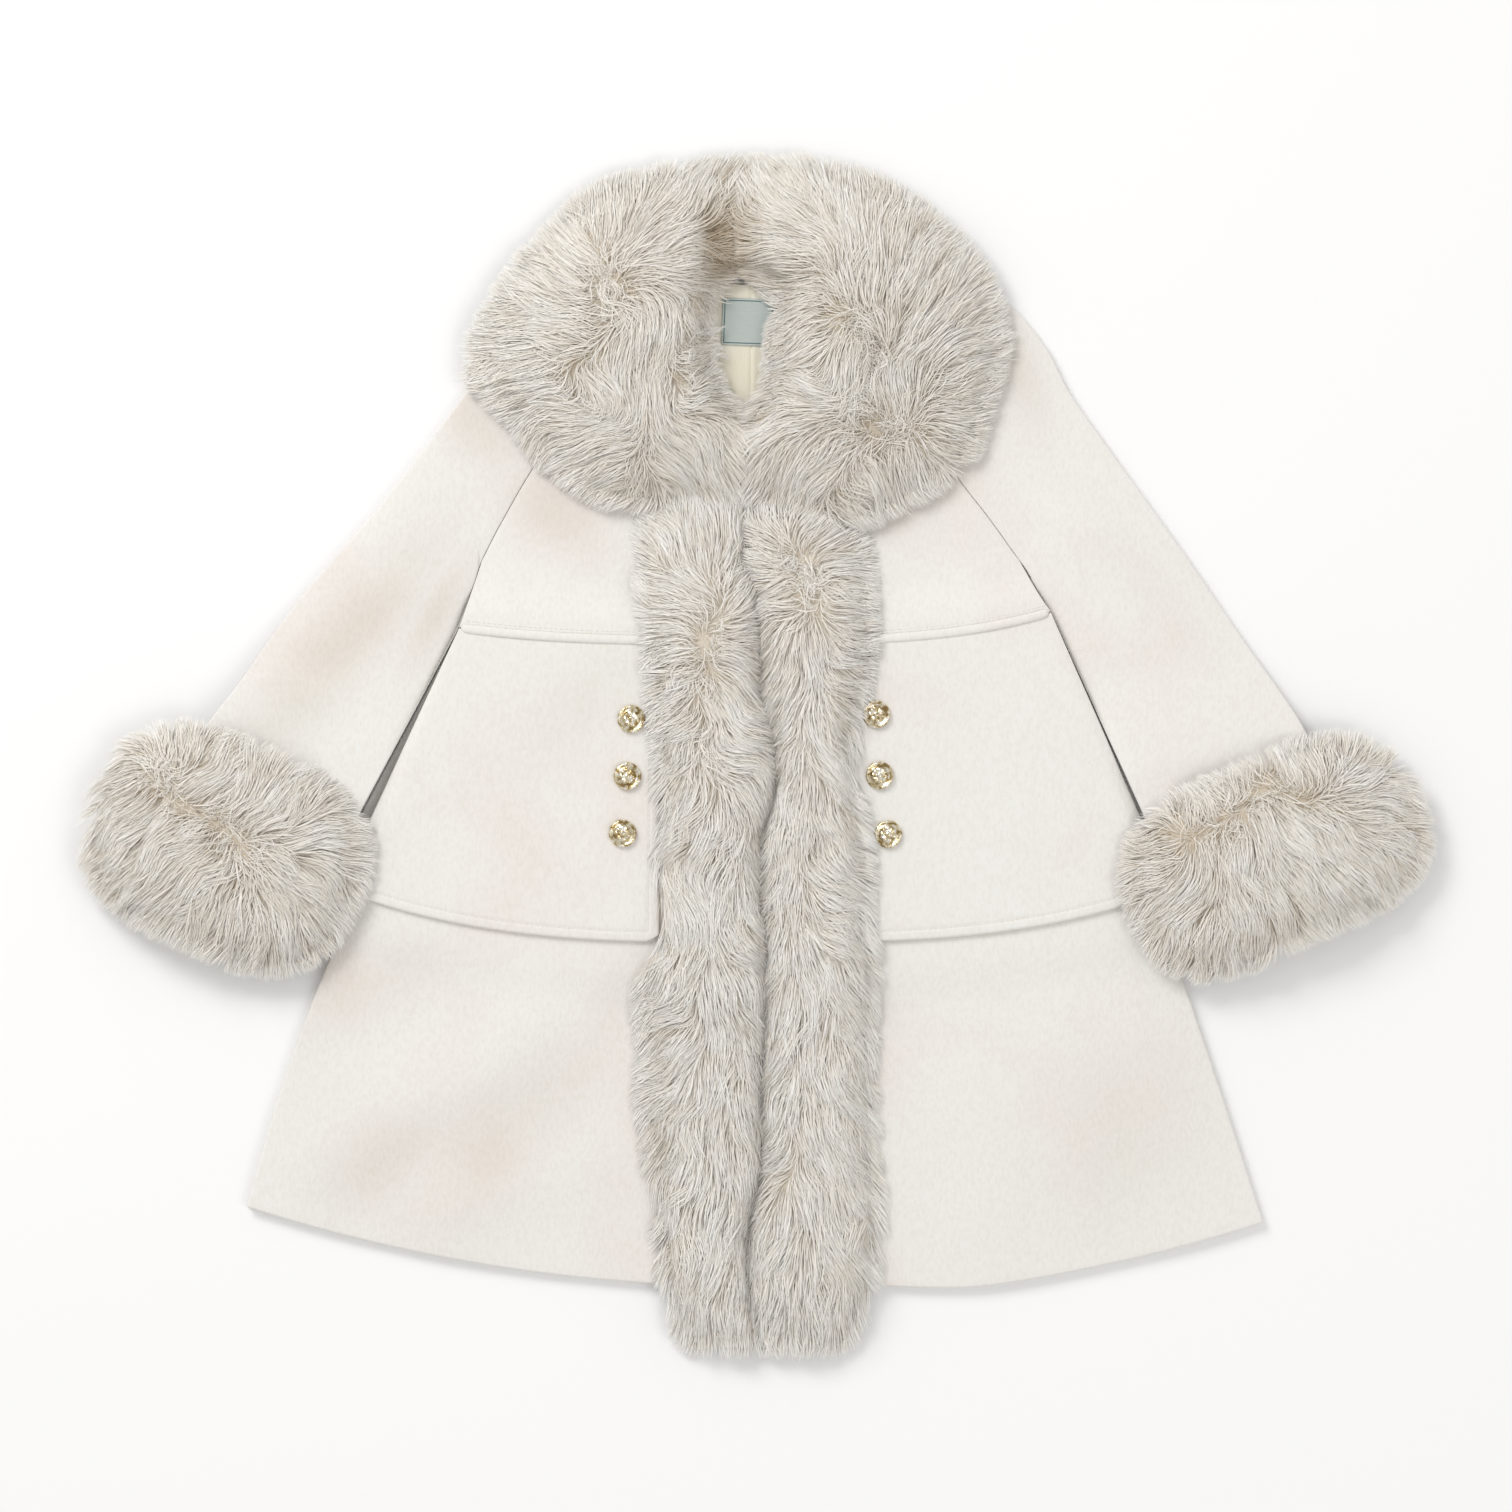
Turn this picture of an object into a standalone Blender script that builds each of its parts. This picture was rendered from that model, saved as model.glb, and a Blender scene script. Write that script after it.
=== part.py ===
"""Child's wool coat with a fur collar, fur front bands and fur cuffs, laid flat on its back.

The sizes below are in millimetres and become metres where a mesh is made. +X is to the viewer's right,
+Y runs from hem to collar and +Z is up, off the surface that the coat lies on. The origin is on that
surface, under the middle of the coat, which is at MIDDLE_Y in the sizes below. "left" and "right" are
the viewer's.
"""

import math
from collections import namedtuple

import bmesh
import bpy
import numpy as np

MM = 0.001
MIDDLE_Y = 0.7
SIDES = {"left": -1, "right": 1}

# Cloth, and how its layers lie on each other
WALL = 2.5  # melton wool with its backing
SEAM = 0.3  # between pieces sewn edge to edge
LAY = 0.6  # between a piece and what it lies on
LAYER = WALL + LAY
CLEAR = 14.0  # a piece stays level this far past the edge it lies over, then falls
FALL = 30.0  # and it falls over this distance
WAIST_CLEAR = 6.0  # the same, for the bodice where it comes up over the tier

# Body, cut as a bell: half widths where each level meets the side seam
CENTRE_GAP = 1.0
WAIST_HALF = 189.0
SKIRT_MID_HALF = 255.0  # at the level of the tier's hem
TIER_HALF = 267.0
BACK_TIER_SHOWS = {"left": 9.0, "right": 2.0}  # past the front tier
HEM_HALF = 325.0
SIDE_BULGE = {"left": 5.0, "right": 1.0}  # of the skirt's side seam, half way down
WAIST_Y = 73.0
WAIST_LIFT = {"left": 8.3, "right": 18.5}  # rise of the waist seam at the side
TIER_HEM_Y = -120.0
TIER_HEM_RISE = 24.0  # at TIER_RISE_AT from the middle
TIER_RISE_AT = 237.0
CUBIC = 3.0
HEM_Y, HEM_Y_RIGHT = -340.0, -350.0
HEM_STEP_FROM, HEM_STEP_OVER = 45.0, 110.0  # the hem comes down to the right one from and over these
HEM_RADIUS = 1061.0
TIER_FRONT_EDGE = {"left": 61.0, "right": 60.0}

TIER_SHARE = 0.45  # of the skirt's rows, the ones under the tier
SKIRT_ROWS = 22
TIER_COLUMNS = 10

# Neck
FRONT_NECK_Y = 205.0
SIDE_NECK_Y = 285.0
NECK_HALF = 64.0
BACK_NECK_Y = 303.0
LINING_WALL = 1.0
LABEL_SIZE = (33.5, 30.0, 0.8)
LABEL_CENTRE = (-4.3, 276.8)

# Sleeves: each row is a line across the flat sleeve, from its outer edge to its inner edge. The first
# rows' inner edges are the raglan seam, from neck to armpit, and the others' are the underarm seam.
Across = namedtuple("Across", "outer_x outer_y inner_x inner_y")
SLEEVE = {
    "left": [
        Across(70, 302, 69, 286),
        Across(112, 298, 102, 238),
        Across(148, 275, 139, 188),
        Across(166, 253, 161, 151),
        Across(180, 237, 174, 126),
        Across(212, 195, 184, 104),
        Across(251, 146, 202, 78),
        Across(294, 96, 217, 42),
        Across(328, 48, 233, 4),
        Across(354, 12, 252, -28),
        Across(378, -45, 287, -86),
        Across(402, -101, 311, -141),
    ],
    "right": [
        Across(70, 302, 67, 286),
        Across(118, 303, 93, 238),
        Across(160, 289, 122, 188),
        Across(185, 262, 150, 151),
        Across(201, 232, 168, 126),
        Across(227, 195, 190, 97),
        Across(273, 131, 209, 60),
        Across(312, 74, 224, 28),
        Across(342, 31, 237, -4),
        Across(357, 4, 253, -28),
        Across(378, -45, 287, -86),
        Across(398, -93, 308, -134),
    ],
}
SLEEVE_ROWS = 33
RAGLAN_ROWS = 12  # of these, from the neck to the armpit
SIDE_ROWS = 4  # of the bodice, from the waist to the armpit
SLEEVE_PUFF = 3.0
PUFF_FROM, PUFF_RISE, PUFF_FADE = 0.36, 0.20, 0.14  # shares of the sleeve's length, clear of the collar
LIFT_FROM, LIFT_TO = 0.60, 0.79  # shares between which the sleeve rises onto the cuff's fur

# Soft folds in the front of the skirt: a ridge from one point to another
Fold = namedtuple("Fold", "x0 y0 x1 y1 half_width height")
SKIRT_FOLDS = [
    Fold(-110, -165, -255, -235, 30, 3.0),
    Fold(-95, -255, -215, -300, 26, 2.6),
    Fold(-160, -200, -290, -270, 22, 1.8),
    Fold(118, -190, 160, -320, 28, 2.4),
    Fold(225, -160, 285, -270, 26, 2.2),
    Fold(180, -150, 225, -300, 20, 1.6),
]

# Fur: height above the cloth, and the locks that run through it
Cuff = namedtuple("Cuff", "x y half_across half_along hollow")
CUFF = {"left": Cuff(333.5, -61.5, 93, 66, 0), "right": Cuff(332, -66, 97, 61, 8)}
CUFF_TILT = math.radians(24)
CUFF_STEPS, CUFF_ACROSS, CUFF_UNDER_STEPS = 30, 12, 12
CUFF_UNDER = 8.0  # fur pressed flat below the sleeve
CUFF_PARTING = 11.25  # where the upper and lower fur meet beside the sleeve
CUFF_HEIGHT = 27.0
CUFF_WIDE_AT = 62.0  # where the cuff reaches clearly past the sleeve's edge
SLEEVE_END_HALF = 53.0
BAND_HEIGHT = 24.0
BAND_STEPS, BAND_ACROSS = 50, 7
BAND_COLUMN = 12.0  # more than the width of one of its columns
BAND_REACH = 11.0  # more than the length of one of its steps
FUR_EDGE = 3.0  # thickness of the fur's thin edges
LOCK_RELIEF, LOCK_EDGE = 2.0, 1.5
BAND_TUCKED_BELOW = -36.0  # the left tier's front edge lies beside the fur from here down
UNDER_COLLAR_WALL = 2.0
COLLAR_FALL = 40.0
COLLAR_STEPS, COLLAR_ACROSS = 46, 8
COLLAR_START, COLLAR_END = 0.4, 179.2  # degrees, which leaves the seams at the back and front
COLLAR_SHOWS = {"left": 4.0, "right": 1.0}  # width of fur past the cloth's edge
NECK_CENTRE = (-6.0, 262.0)

# Collar, as distances from the neck's centre; the angle runs from the back of the neck to the front
Ray = namedtuple("Ray", "angle inner left right height")
COLLAR = [
    Ray(0, 40, 116, 116, 30),
    Ray(15, 39, 117, 120, 32),
    Ray(30, 36, 125, 127, 35),
    Ray(45, 30, 138, 137, 38),
    Ray(60, 23, 144, 148, 40),
    Ray(75, 18, 158, 161, 42),
    Ray(90, 16, 174, 165, 42),
    Ray(97, 16, 176, 161, 41),
    Ray(106, 16, 158, 159, 40),
    Ray(115, 17, 152, 161, 39),
    Ray(125, 20, 145, 153, 38),
    Ray(135, 24, 137, 142, 36),
    Ray(147, 31, 122, 137, 33),
    Ray(160, 40, 106, 112, 29),
    Ray(180, 51, 97, 97, 24),
]

# Front bands: the outer edge of each and the parting between them, at each height
Band = namedtuple("Band", "y left right parting")
BANDS = [
    Band(163, 66, 58, -6),
    Band(152, 73, 72, -7),
    Band(128, 73, 75, -8),
    Band(104, 72, 73, 1),
    Band(70, 69, 76, 3),
    Band(40, 66, 69, 3),
    Band(12, 63, 62, 12),
    Band(-20, 61, 67, 14),
    Band(-56, 60, 72, 4),
    Band(-92, 60, 73, 4),
    Band(-122, 60, 72, 8),
    Band(-130, 75, 77, 7),
    Band(-157, 74, 77, 6),
    Band(-195, 70, 76, 5),
    Band(-228, 73, 76, 5),
    Band(-265, 66, 77, 4),
    Band(-300, 63, 80, -4),
    Band(-330, 60, 78, -5),
    Band(-352, 56, 70, -3),
    Band(-366, 51, 66, 2),
    Band(-374, 43, 58, 4),
    Band(-379, 31, 48, 5),
]

# Six domed buttons, two rows of three
BUTTON_RADIUS = 8.9
BUTTONS = {
    "left": [(-79, 23), (-81.5, -13.5), (-84.5, -50)],
    "right": [(77.5, 26), (79.5, -13), (85, -50.5)],
}
WELT_HALF = 2.9
WELT_HEIGHT = 2.0
WELT_STEPS = 12
WELT_FROM = {"left": 12.0, "right": 19.0}  # from the tier's front edge


def smooth(share):
    """0 below 0, 1 above 1, and a soft S between."""
    share = min(1.0, max(0.0, share))
    return share * share * (3 - 2 * share)


def mix(a, b, share):
    return a + (b - a) * share


def read(rows, key, column, at):
    """A named column of a table, read between its rows."""
    keys = [getattr(row, key) for row in rows]
    values = [getattr(row, column) for row in rows]
    if keys[0] > keys[-1]:
        keys, values = keys[::-1], values[::-1]
    return float(np.interp(at, keys, values))


def through(values, share):
    """A smooth curve through evenly spaced values (Catmull-Rom)."""
    place = min(share * (len(values) - 1), len(values) - 1.000001)
    i = int(place)
    t = place - i
    a, b, c, d = (values[min(max(i + k, 0), len(values) - 1)] for k in (-1, 0, 1, 2))
    return 0.5 * (2 * b + (c - a) * t + (2 * a - 5 * b + 4 * c - d) * t**2 + (3 * b - a - 3 * c + d) * t**3)


def side_of(x):
    return "left" if x < 0 else "right"


def waist_y(x):
    return WAIST_Y + WAIST_LIFT[side_of(x)] * (abs(x) / WAIST_HALF) ** CUBIC


def tier_hem_y(x):
    return TIER_HEM_Y + TIER_HEM_RISE * (abs(x) / TIER_RISE_AT) ** CUBIC


def hem_y(x):
    level = mix(HEM_Y, HEM_Y_RIGHT, smooth((x - HEM_STEP_FROM) / HEM_STEP_OVER))
    return level + HEM_RADIUS - math.sqrt(HEM_RADIUS**2 - x * x)


def shoulder_y(x):
    """The top of the shoulders and of the back of the neck, read along the sleeves' outer edges."""
    rows = SLEEVE[side_of(x)]
    return float(np.interp(abs(x), [row.outer_x for row in rows], [row.outer_y for row in rows]))


def falling(distance):
    """1 over what a piece lies on, falling to 0 once it is well past the edge."""
    return 1 - smooth((distance - CLEAR) / FALL)


def fold_height(x, y):
    """The soft ridges of the skirt, each a rounded bank that dies away at both ends."""
    total = 0.0
    for fold in SKIRT_FOLDS:
        run = (fold.x1 - fold.x0, fold.y1 - fold.y0)
        length = math.hypot(*run)
        along = ((x - fold.x0) * run[0] + (y - fold.y0) * run[1]) / length**2
        away = ((x - fold.x0) * run[1] - (y - fold.y0) * run[0]) / length
        ends = smooth(1.4 - abs(2 * along - 1))
        total += fold.height * math.exp(-((away / fold.half_width) ** 2)) * ends
    return total * smooth((tier_hem_y(x) - y - CLEAR) / FALL)


def skirt_back_z(x, y):
    return LAYER * falling(tier_hem_y(x) - y)


def skirt_front_z(x, y):
    return skirt_back_z(x, y) + LAYER + fold_height(x, y)


def bodice_front_z(x, y):
    return LAYER + 2 * LAYER * (1 - smooth((y - waist_y(x) - WAIST_CLEAR) / FALL))


def sleeve_back_z(share):
    return (CUFF_UNDER + LAY) * smooth((share - LIFT_FROM) / (LIFT_TO - LIFT_FROM))


def sleeve_front_z(share, across):
    puff = SLEEVE_PUFF * smooth((share - PUFF_FROM) / PUFF_RISE) * smooth((LIFT_TO - share) / PUFF_FADE)
    return sleeve_back_z(share) + LAYER + puff * 4 * across * (1 - across)


def under_collar_z(x, y):
    return 2 * LAYER * (1 - smooth((y - shoulder_y(x) - CLEAR) / COLLAR_FALL))


def front_top_z(x, y):
    """The top of the cloth that a front band lies on."""
    if y > waist_y(x):
        return bodice_front_z(x, y) + WALL
    if y > tier_hem_y(x):
        tucked = x < 0 and y < BAND_TUCKED_BELOW
        over_tier = abs(x) > TIER_FRONT_EDGE[side_of(x)] - BAND_COLUMN and not tucked
        return (3 if over_tier else 2) * LAYER + WALL
    return (skirt_front_z(x, y) + WALL) * falling(hem_y(x) - y + WAIST_CLEAR)


def metres(x, y, z):
    return x * MM, (y - MIDDLE_Y) * MM, z * MM


def material(name, colour, roughness, metallic=0.0):
    made = bpy.data.materials.new(name)
    made.use_nodes = True
    shader = made.node_tree.nodes["Principled BSDF"]
    shader.inputs["Base Color"].default_value = (*colour, 1)
    shader.inputs["Roughness"].default_value = roughness
    shader.inputs["Metallic"].default_value = metallic
    return made


def add_object(name, mesh, finish, collection):
    mesh.materials.append(finish)
    made = bpy.data.objects.new(name, mesh)
    collection.objects.link(made)
    return made


def panel(name, columns, rows, place, finish, collection, wall=WALL):
    """A cut panel of cloth: place(s, t) gives its underside, and Solidify gives it its wall upwards."""
    sheet = bmesh.new()
    bmesh.ops.create_grid(sheet, x_segments=columns, y_segments=rows, size=0.5)
    for point in sheet.verts:
        point.co = metres(*place(point.co.x + 0.5, point.co.y + 0.5))
    sheet.normal_update()
    if sum(face.normal.z * face.calc_area() for face in sheet.faces) < 0:
        bmesh.ops.reverse_faces(sheet, faces=sheet.faces)
    mesh = bpy.data.meshes.new(name)
    sheet.to_mesh(mesh)
    sheet.free()
    made = add_object(name, mesh, finish, collection)
    solidify = made.modifiers.new("Wall", "SOLIDIFY")
    solidify.thickness = wall * MM
    solidify.offset = 1.0
    solidify.use_even_offset = True
    return made


def loft(name, rings, finish, collection, paired=False):
    """A closed form through rings of equal length, capped at both ends. The rings of a paired form have
    their lower points under their upper ones, and its caps are strips between the two."""
    body = bmesh.new()
    rows = [[body.verts.new(metres(*point)) for point in ring] for ring in rings]
    count = len(rings[0])
    for here, after in zip(rows, rows[1:]):
        for i in range(count):
            j = (i + 1) % count
            body.faces.new((here[i], here[j], after[j], after[i]))
    for cap in (rows[0], rows[-1]):
        if not paired:
            body.faces.new(cap)
            continue
        for i in range(count // 2 - 1):
            body.faces.new((cap[i], cap[i + 1], cap[count - 2 - i], cap[count - 1 - i]))
    bmesh.ops.recalc_face_normals(body, faces=body.faces)
    mesh = bpy.data.meshes.new(name)
    body.to_mesh(mesh)
    body.free()
    mesh.shade_smooth()
    return add_object(name, mesh, finish, collection)


def lock(place, row):
    """Relief of the fur's locks, from -1 to 1: crests that wander a little from row to row."""
    crest = 1 - 2 * abs(math.sin(math.pi * place + 0.8 * math.sin(1.7 * row)))
    return 0.75 * crest + 0.25 * math.sin(2.3 * place + 2.9 * row)


# Back, from the floor up: tier, bodice, and the skirt that lies over the tier


def body_point(s, t, half_top, half_mid, half_hem, inner=0.0):
    """A point of a flared panel: s from inner to the side seam, t from the waist to the tier's hem at
    TIER_SHARE and on to the hem at 1."""
    if t <= TIER_SHARE:
        down = t / TIER_SHARE
        top, low, above, below = half_top, half_mid, waist_y, tier_hem_y
    else:
        down = (t - TIER_SHARE) / (1 - TIER_SHARE)
        top, low, above, below = half_mid, half_hem, tier_hem_y, hem_y
    side = math.copysign(1, s)
    x_top = side * mix(inner, top, abs(s))
    x_low = side * mix(inner, low, abs(s))
    x = mix(x_top, x_low, down)
    if t > TIER_SHARE:
        x += side * SIDE_BULGE[side_of(side)] * abs(s) ** 2 * math.sin(math.pi * down)
    return x, mix(above(x_top) - SEAM, below(x_low), down)


def tier_back(s, t):
    s = 2 * s - 1
    shows = BACK_TIER_SHOWS[side_of(s)]
    x, y = body_point(s, t * TIER_SHARE, WAIST_HALF, TIER_HALF + shows, HEM_HALF)
    return x, y, 0.0


def skirt_back(s, t):
    x, y = body_point(2 * s - 1, t, WAIST_HALF - 2, SKIRT_MID_HALF, HEM_HALF)
    return x, y, skirt_back_z(x, y)


def bodice_rows(side):
    """Half width and height at each row of the bodice: side seam, then raglan seam up to the neck."""
    armpit_x, armpit_y = sleeve_point(side, 1.0, RAGLAN_ROWS / SLEEVE_ROWS)
    rows = []
    for k in range(SIDE_ROWS):
        share = k / SIDE_ROWS
        rows.append((mix(WAIST_HALF, abs(armpit_x), share), mix(WAIST_Y + WAIST_LIFT[side], armpit_y, share)))
    for k in range(RAGLAN_ROWS, -1, -1):
        x, y = sleeve_point(side, 1.0, k / SLEEVE_ROWS)
        rows.append((abs(x) - SEAM * 1.4, y))
    return rows


def bodice_point(s, row, left, right):
    """A point of the bodice on a row, s from the left seam at 0 to the right seam at 1. The lowest row
    follows the waist seam, and the rows above it straighten."""
    x = mix(-left[row][0], right[row][0], s)
    y = mix(left[row][1], right[row][1], s)
    ends = mix(waist_y(-WAIST_HALF), waist_y(WAIST_HALF), s)
    return x, y + SEAM + (waist_y(x) - ends) * (1 - smooth(row / SIDE_ROWS))


def bodice_back(s, t):
    left, right = ([*bodice_rows(side), (NECK_HALF + 2, BACK_NECK_Y)] for side in SIDES)
    return (*bodice_point(s, round(t * (SIDE_ROWS + RAGLAN_ROWS + 1)), left, right), 0.0)


# Front, left and right


def skirt_front(side):
    def place(s, t):
        x, y = body_point(s * SIDES[side], t, WAIST_HALF - 2, SKIRT_MID_HALF, HEM_HALF, CENTRE_GAP)
        return x, y, skirt_front_z(x, y)

    return place


def tier_front(side):
    """The tier ends in a free corner beside the fur band. Its last column rolls off the skirt's side."""

    def place(s, t):
        if s > 0.999:
            x, y = body_point(SIDES[side], t * TIER_SHARE, WAIST_HALF, TIER_HALF, HEM_HALF)
            return x, y, 3 * LAYER - (TIER_HALF - SKIRT_MID_HALF) / 2 * t
        share = SIDES[side] * s / (1 - 1 / TIER_COLUMNS)
        half_top, half_low = WAIST_HALF - 2.5, SKIRT_MID_HALF + 1
        x, y = body_point(share, t * TIER_SHARE, half_top, half_low, HEM_HALF, TIER_FRONT_EDGE[side])
        return x, y, 3 * LAYER

    return place


def bodice_front(side):
    """The front bodice runs from the middle to the raglan seam, and its neck edge opens in a V."""
    rows = bodice_rows(side)

    def place(s, t):
        row = round(t * (SIDE_ROWS + RAGLAN_ROWS))
        half, y = rows[row]
        inner = CENTRE_GAP
        if y > FRONT_NECK_Y:
            inner += (NECK_HALF - CENTRE_GAP - 2) * (y - FRONT_NECK_Y) / (SIDE_NECK_Y - FRONT_NECK_Y)
        x = SIDES[side] * mix(inner, half, s)
        bend = waist_y(x) - waist_y(SIDES[side] * WAIST_HALF)
        y += SEAM + bend * (1 - smooth(row / SIDE_ROWS))
        return x, y, bodice_front_z(x, y)

    return place


def welt_rings(side):
    """The lapped seam at the waist, a low rounded strip over the join of bodice and tier."""
    inner = TIER_FRONT_EDGE[side] + WELT_FROM[side]
    base = 3 * LAYER + WALL + SEAM
    arch = [(math.cos(a), math.sin(a) ** 0.6) for a in (math.pi * i / 6 for i in range(1, 6))]
    section = [*arch, (-1, 0), (1, 0)]
    rings = []
    for k in range(WELT_STEPS + 1):
        x = SIDES[side] * mix(inner, WAIST_HALF - 1, k / WELT_STEPS)
        rings.append([(x, waist_y(x) + WELT_HALF * dy, base + WELT_HEIGHT * dz) for dy, dz in section])
    return rings


# Sleeves: a front and a back for each arm, lying on each other


def sleeve_point(side, s, t):
    rows = SLEEVE[side]
    column = {name: through([getattr(row, name) for row in rows], t) for name in Across._fields}
    x = mix(column["outer_x"], column["inner_x"], s)
    y = mix(column["outer_y"], column["inner_y"], s)
    return SIDES[side] * x, y


def sleeve_back(side):
    def place(s, t):
        return (*sleeve_point(side, s, t), sleeve_back_z(t))

    return place


def sleeve_front(side):
    def place(s, t):
        return (*sleeve_point(side, s, t), sleeve_front_z(t, s))

    return place


# Neck: the lining that shows, its label, and the cloth under-collar


def neck_lining(s, t):
    y = mix(FRONT_NECK_Y + 9, BACK_NECK_Y - 2, t)
    half = NECK_HALF * min(1.0, (y - FRONT_NECK_Y) / (SIDE_NECK_Y - FRONT_NECK_Y)) - 4
    return (2 * s - 1) * half, y, LAYER


def label(s, t):
    width, height, _ = LABEL_SIZE
    x, y = LABEL_CENTRE
    return x + (s - 0.5) * width, y + (t - 0.5) * height, LAYER + LINING_WALL + SEAM


def collar_point(side, angle, radius):
    turn = math.radians(angle)
    return (
        NECK_CENTRE[0] + SIDES[side] * radius * math.sin(turn),
        NECK_CENTRE[1] + radius * math.cos(turn),
    )


def under_collar(side):
    def place(s, t):
        angle = mix(COLLAR_START, COLLAR_END, s)
        inner = read(COLLAR, "angle", "inner", angle) + 6
        outer = read(COLLAR, "angle", side, angle) - COLLAR_SHOWS[side]
        x, y = collar_point(side, angle, mix(inner, outer, t))
        return x, y, under_collar_z(x, y)

    return place


def collar_rings(side):
    """The fur collar: sections fan out round the neck, highest near the neck and low at the edge."""
    rings = []
    for k in range(COLLAR_STEPS + 1):
        angle = mix(COLLAR_START, COLLAR_END, k / COLLAR_STEPS)
        inner = read(COLLAR, "angle", "inner", angle)
        outer = read(COLLAR, "angle", side, angle) + LOCK_EDGE * lock(k / 2, 0)
        height = read(COLLAR, "angle", "height", angle) - FUR_EDGE
        top, under = [], []
        for j in range(COLLAR_ACROSS + 1):
            v = j / COLLAR_ACROSS
            x, y = collar_point(side, angle, mix(inner, outer, v))
            base = under_collar_z(x, y) + UNDER_COLLAR_WALL + 2 * LAY
            crown = math.sin(math.pi * v**0.62) ** 0.6 if 0 < v < 1 else 0.0
            relief = LOCK_RELIEF * lock(k / 2 + 0.25 * j, j) * math.sin(math.pi * v)
            rise = height * crown * mix(1.0, 0.86, v) + relief
            top.append((x, y, base + FUR_EDGE + rise))
            under.append((x, y, base))
        rings.append(top + under[::-1])
    return rings


def collar_edge_y(side, x):
    """The lowest that the collar's fur comes near this distance from the middle."""
    angles = range(180, 110, -3)
    points = [collar_point(side, angle, read(COLLAR, "angle", side, angle) + 2) for angle in angles]
    reach, low = [abs(px) for px, _ in points], [py for _, py in points]
    return min(float(np.interp(abs(x) + near, reach, low)) for near in (-6, -3, 0, 3, 6))


def highest(height, x, y, reach):
    """The highest value near a point, so that a band bridges the steps in the cloth under it."""
    return max(height(x, y + dy) for dy in (-reach, -reach / 2, 0, reach / 2, reach))


def band_rings(side):
    """A front band: sections across it from the parting to its outer edge, from collar to below hem."""
    top_y, low_y = BANDS[0].y, BANDS[-1].y
    sign = SIDES[side]
    rings = []
    for k in range(BAND_STEPS + 1):
        level = mix(top_y, low_y, k / BAND_STEPS)
        outer = read(BANDS, "y", side, level)
        if side == "left" and tier_hem_y(0) - 10 < level < BAND_TUCKED_BELOW:
            outer = min(outer, TIER_FRONT_EDGE[side] - 0.6)
        else:
            outer += LOCK_EDGE * lock(k / 2, 0)
        inner = read(BANDS, "y", "parting", level) + sign * CENTRE_GAP / 2
        end = math.sin(math.pi * min(1.0, 0.12 + min(k, BAND_STEPS - k) / 5) / 2) ** 0.7
        top, under = [], []
        for j in range(BAND_ACROSS + 1):
            v = j / BAND_ACROSS
            x = mix(inner, sign * outer, v)
            y = level - max(0.0, top_y + 1 - collar_edge_y(side, x)) * (1 - smooth(k / 8))
            base = highest(front_top_z, x, y, BAND_REACH) + LAY
            crown = (1 - abs(2 * v - 1) ** 2.6) ** 0.55
            relief = LOCK_RELIEF * lock(k / 2 - 0.2 * j, j) * math.sin(math.pi * v)
            top.append((x, y, base + (FUR_EDGE + BAND_HEIGHT * crown + relief) * end))
            under.append((x, y, base))
        rings.append(top + under[::-1])
    return rings


def cuff_point(side, across, along):
    """From the cuff's own directions, across and along the sleeve, to the coat's. The middle of its
    wrist edge is drawn in by the hollow."""
    cuff = CUFF[side]
    drawn = max(0.0, along / cuff.half_along) ** 2 * (1 - (across / cuff.half_across) ** 2)
    along -= cuff.hollow * drawn
    cos, sin = math.cos(CUFF_TILT), math.sin(CUFF_TILT)
    x = cuff.x + across * cos + along * sin
    y = cuff.y + across * sin - along * cos
    return SIDES[side] * x, y


def cuff_half(side, reach):
    """Half the cuff's length at a share of its half width: a rounded oblong."""
    return CUFF[side].half_across * (1 - abs(reach) ** CUBIC) ** (1 / CUBIC)


def cuff_top_rings(side):
    """Upper fur of a cuff. Its inner end lies over the coat's side, and its outer end meets the fur below."""
    rings = []
    for k in range(CUFF_STEPS + 1):
        reach = mix(-0.985, 0.985, k / CUFF_STEPS)
        along = CUFF[side].half_along * reach
        half = cuff_half(side, reach) + LOCK_EDGE * lock(k / 2, 0)
        end = (1 - abs(reach) ** CUBIC) ** 0.5
        over_sleeve = CUFF_UNDER + 2 * LAYER + LAY
        beside = CUFF_PARTING + SEAM if half > CUFF_WIDE_AT else over_sleeve
        step = min(SLEEVE_END_HALF, half - 4)
        stations = [-half, 0, step, step + 2, half]
        levels = [over_sleeve, over_sleeve, over_sleeve, beside, beside]
        top = []
        for j in range(CUFF_ACROSS + 1):
            v = j / CUFF_ACROSS
            a = mix(-half, half, v)
            base = float(np.interp(a, stations, levels))
            crown = (1 - abs(2 * v - 1) ** 2.8) ** 0.5
            relief = LOCK_RELIEF * lock(k / 2 + 0.3 * j, j) * math.sin(math.pi * v)
            rise = FUR_EDGE / 2 + (CUFF_HEIGHT * crown + relief) * end
            top.append((*cuff_point(side, a, along), base + rise))
        under = [(*cuff_point(side, a, along), z) for a, z in zip(stations, levels)]
        rings.append(top + under[::-1])
    return rings


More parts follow.
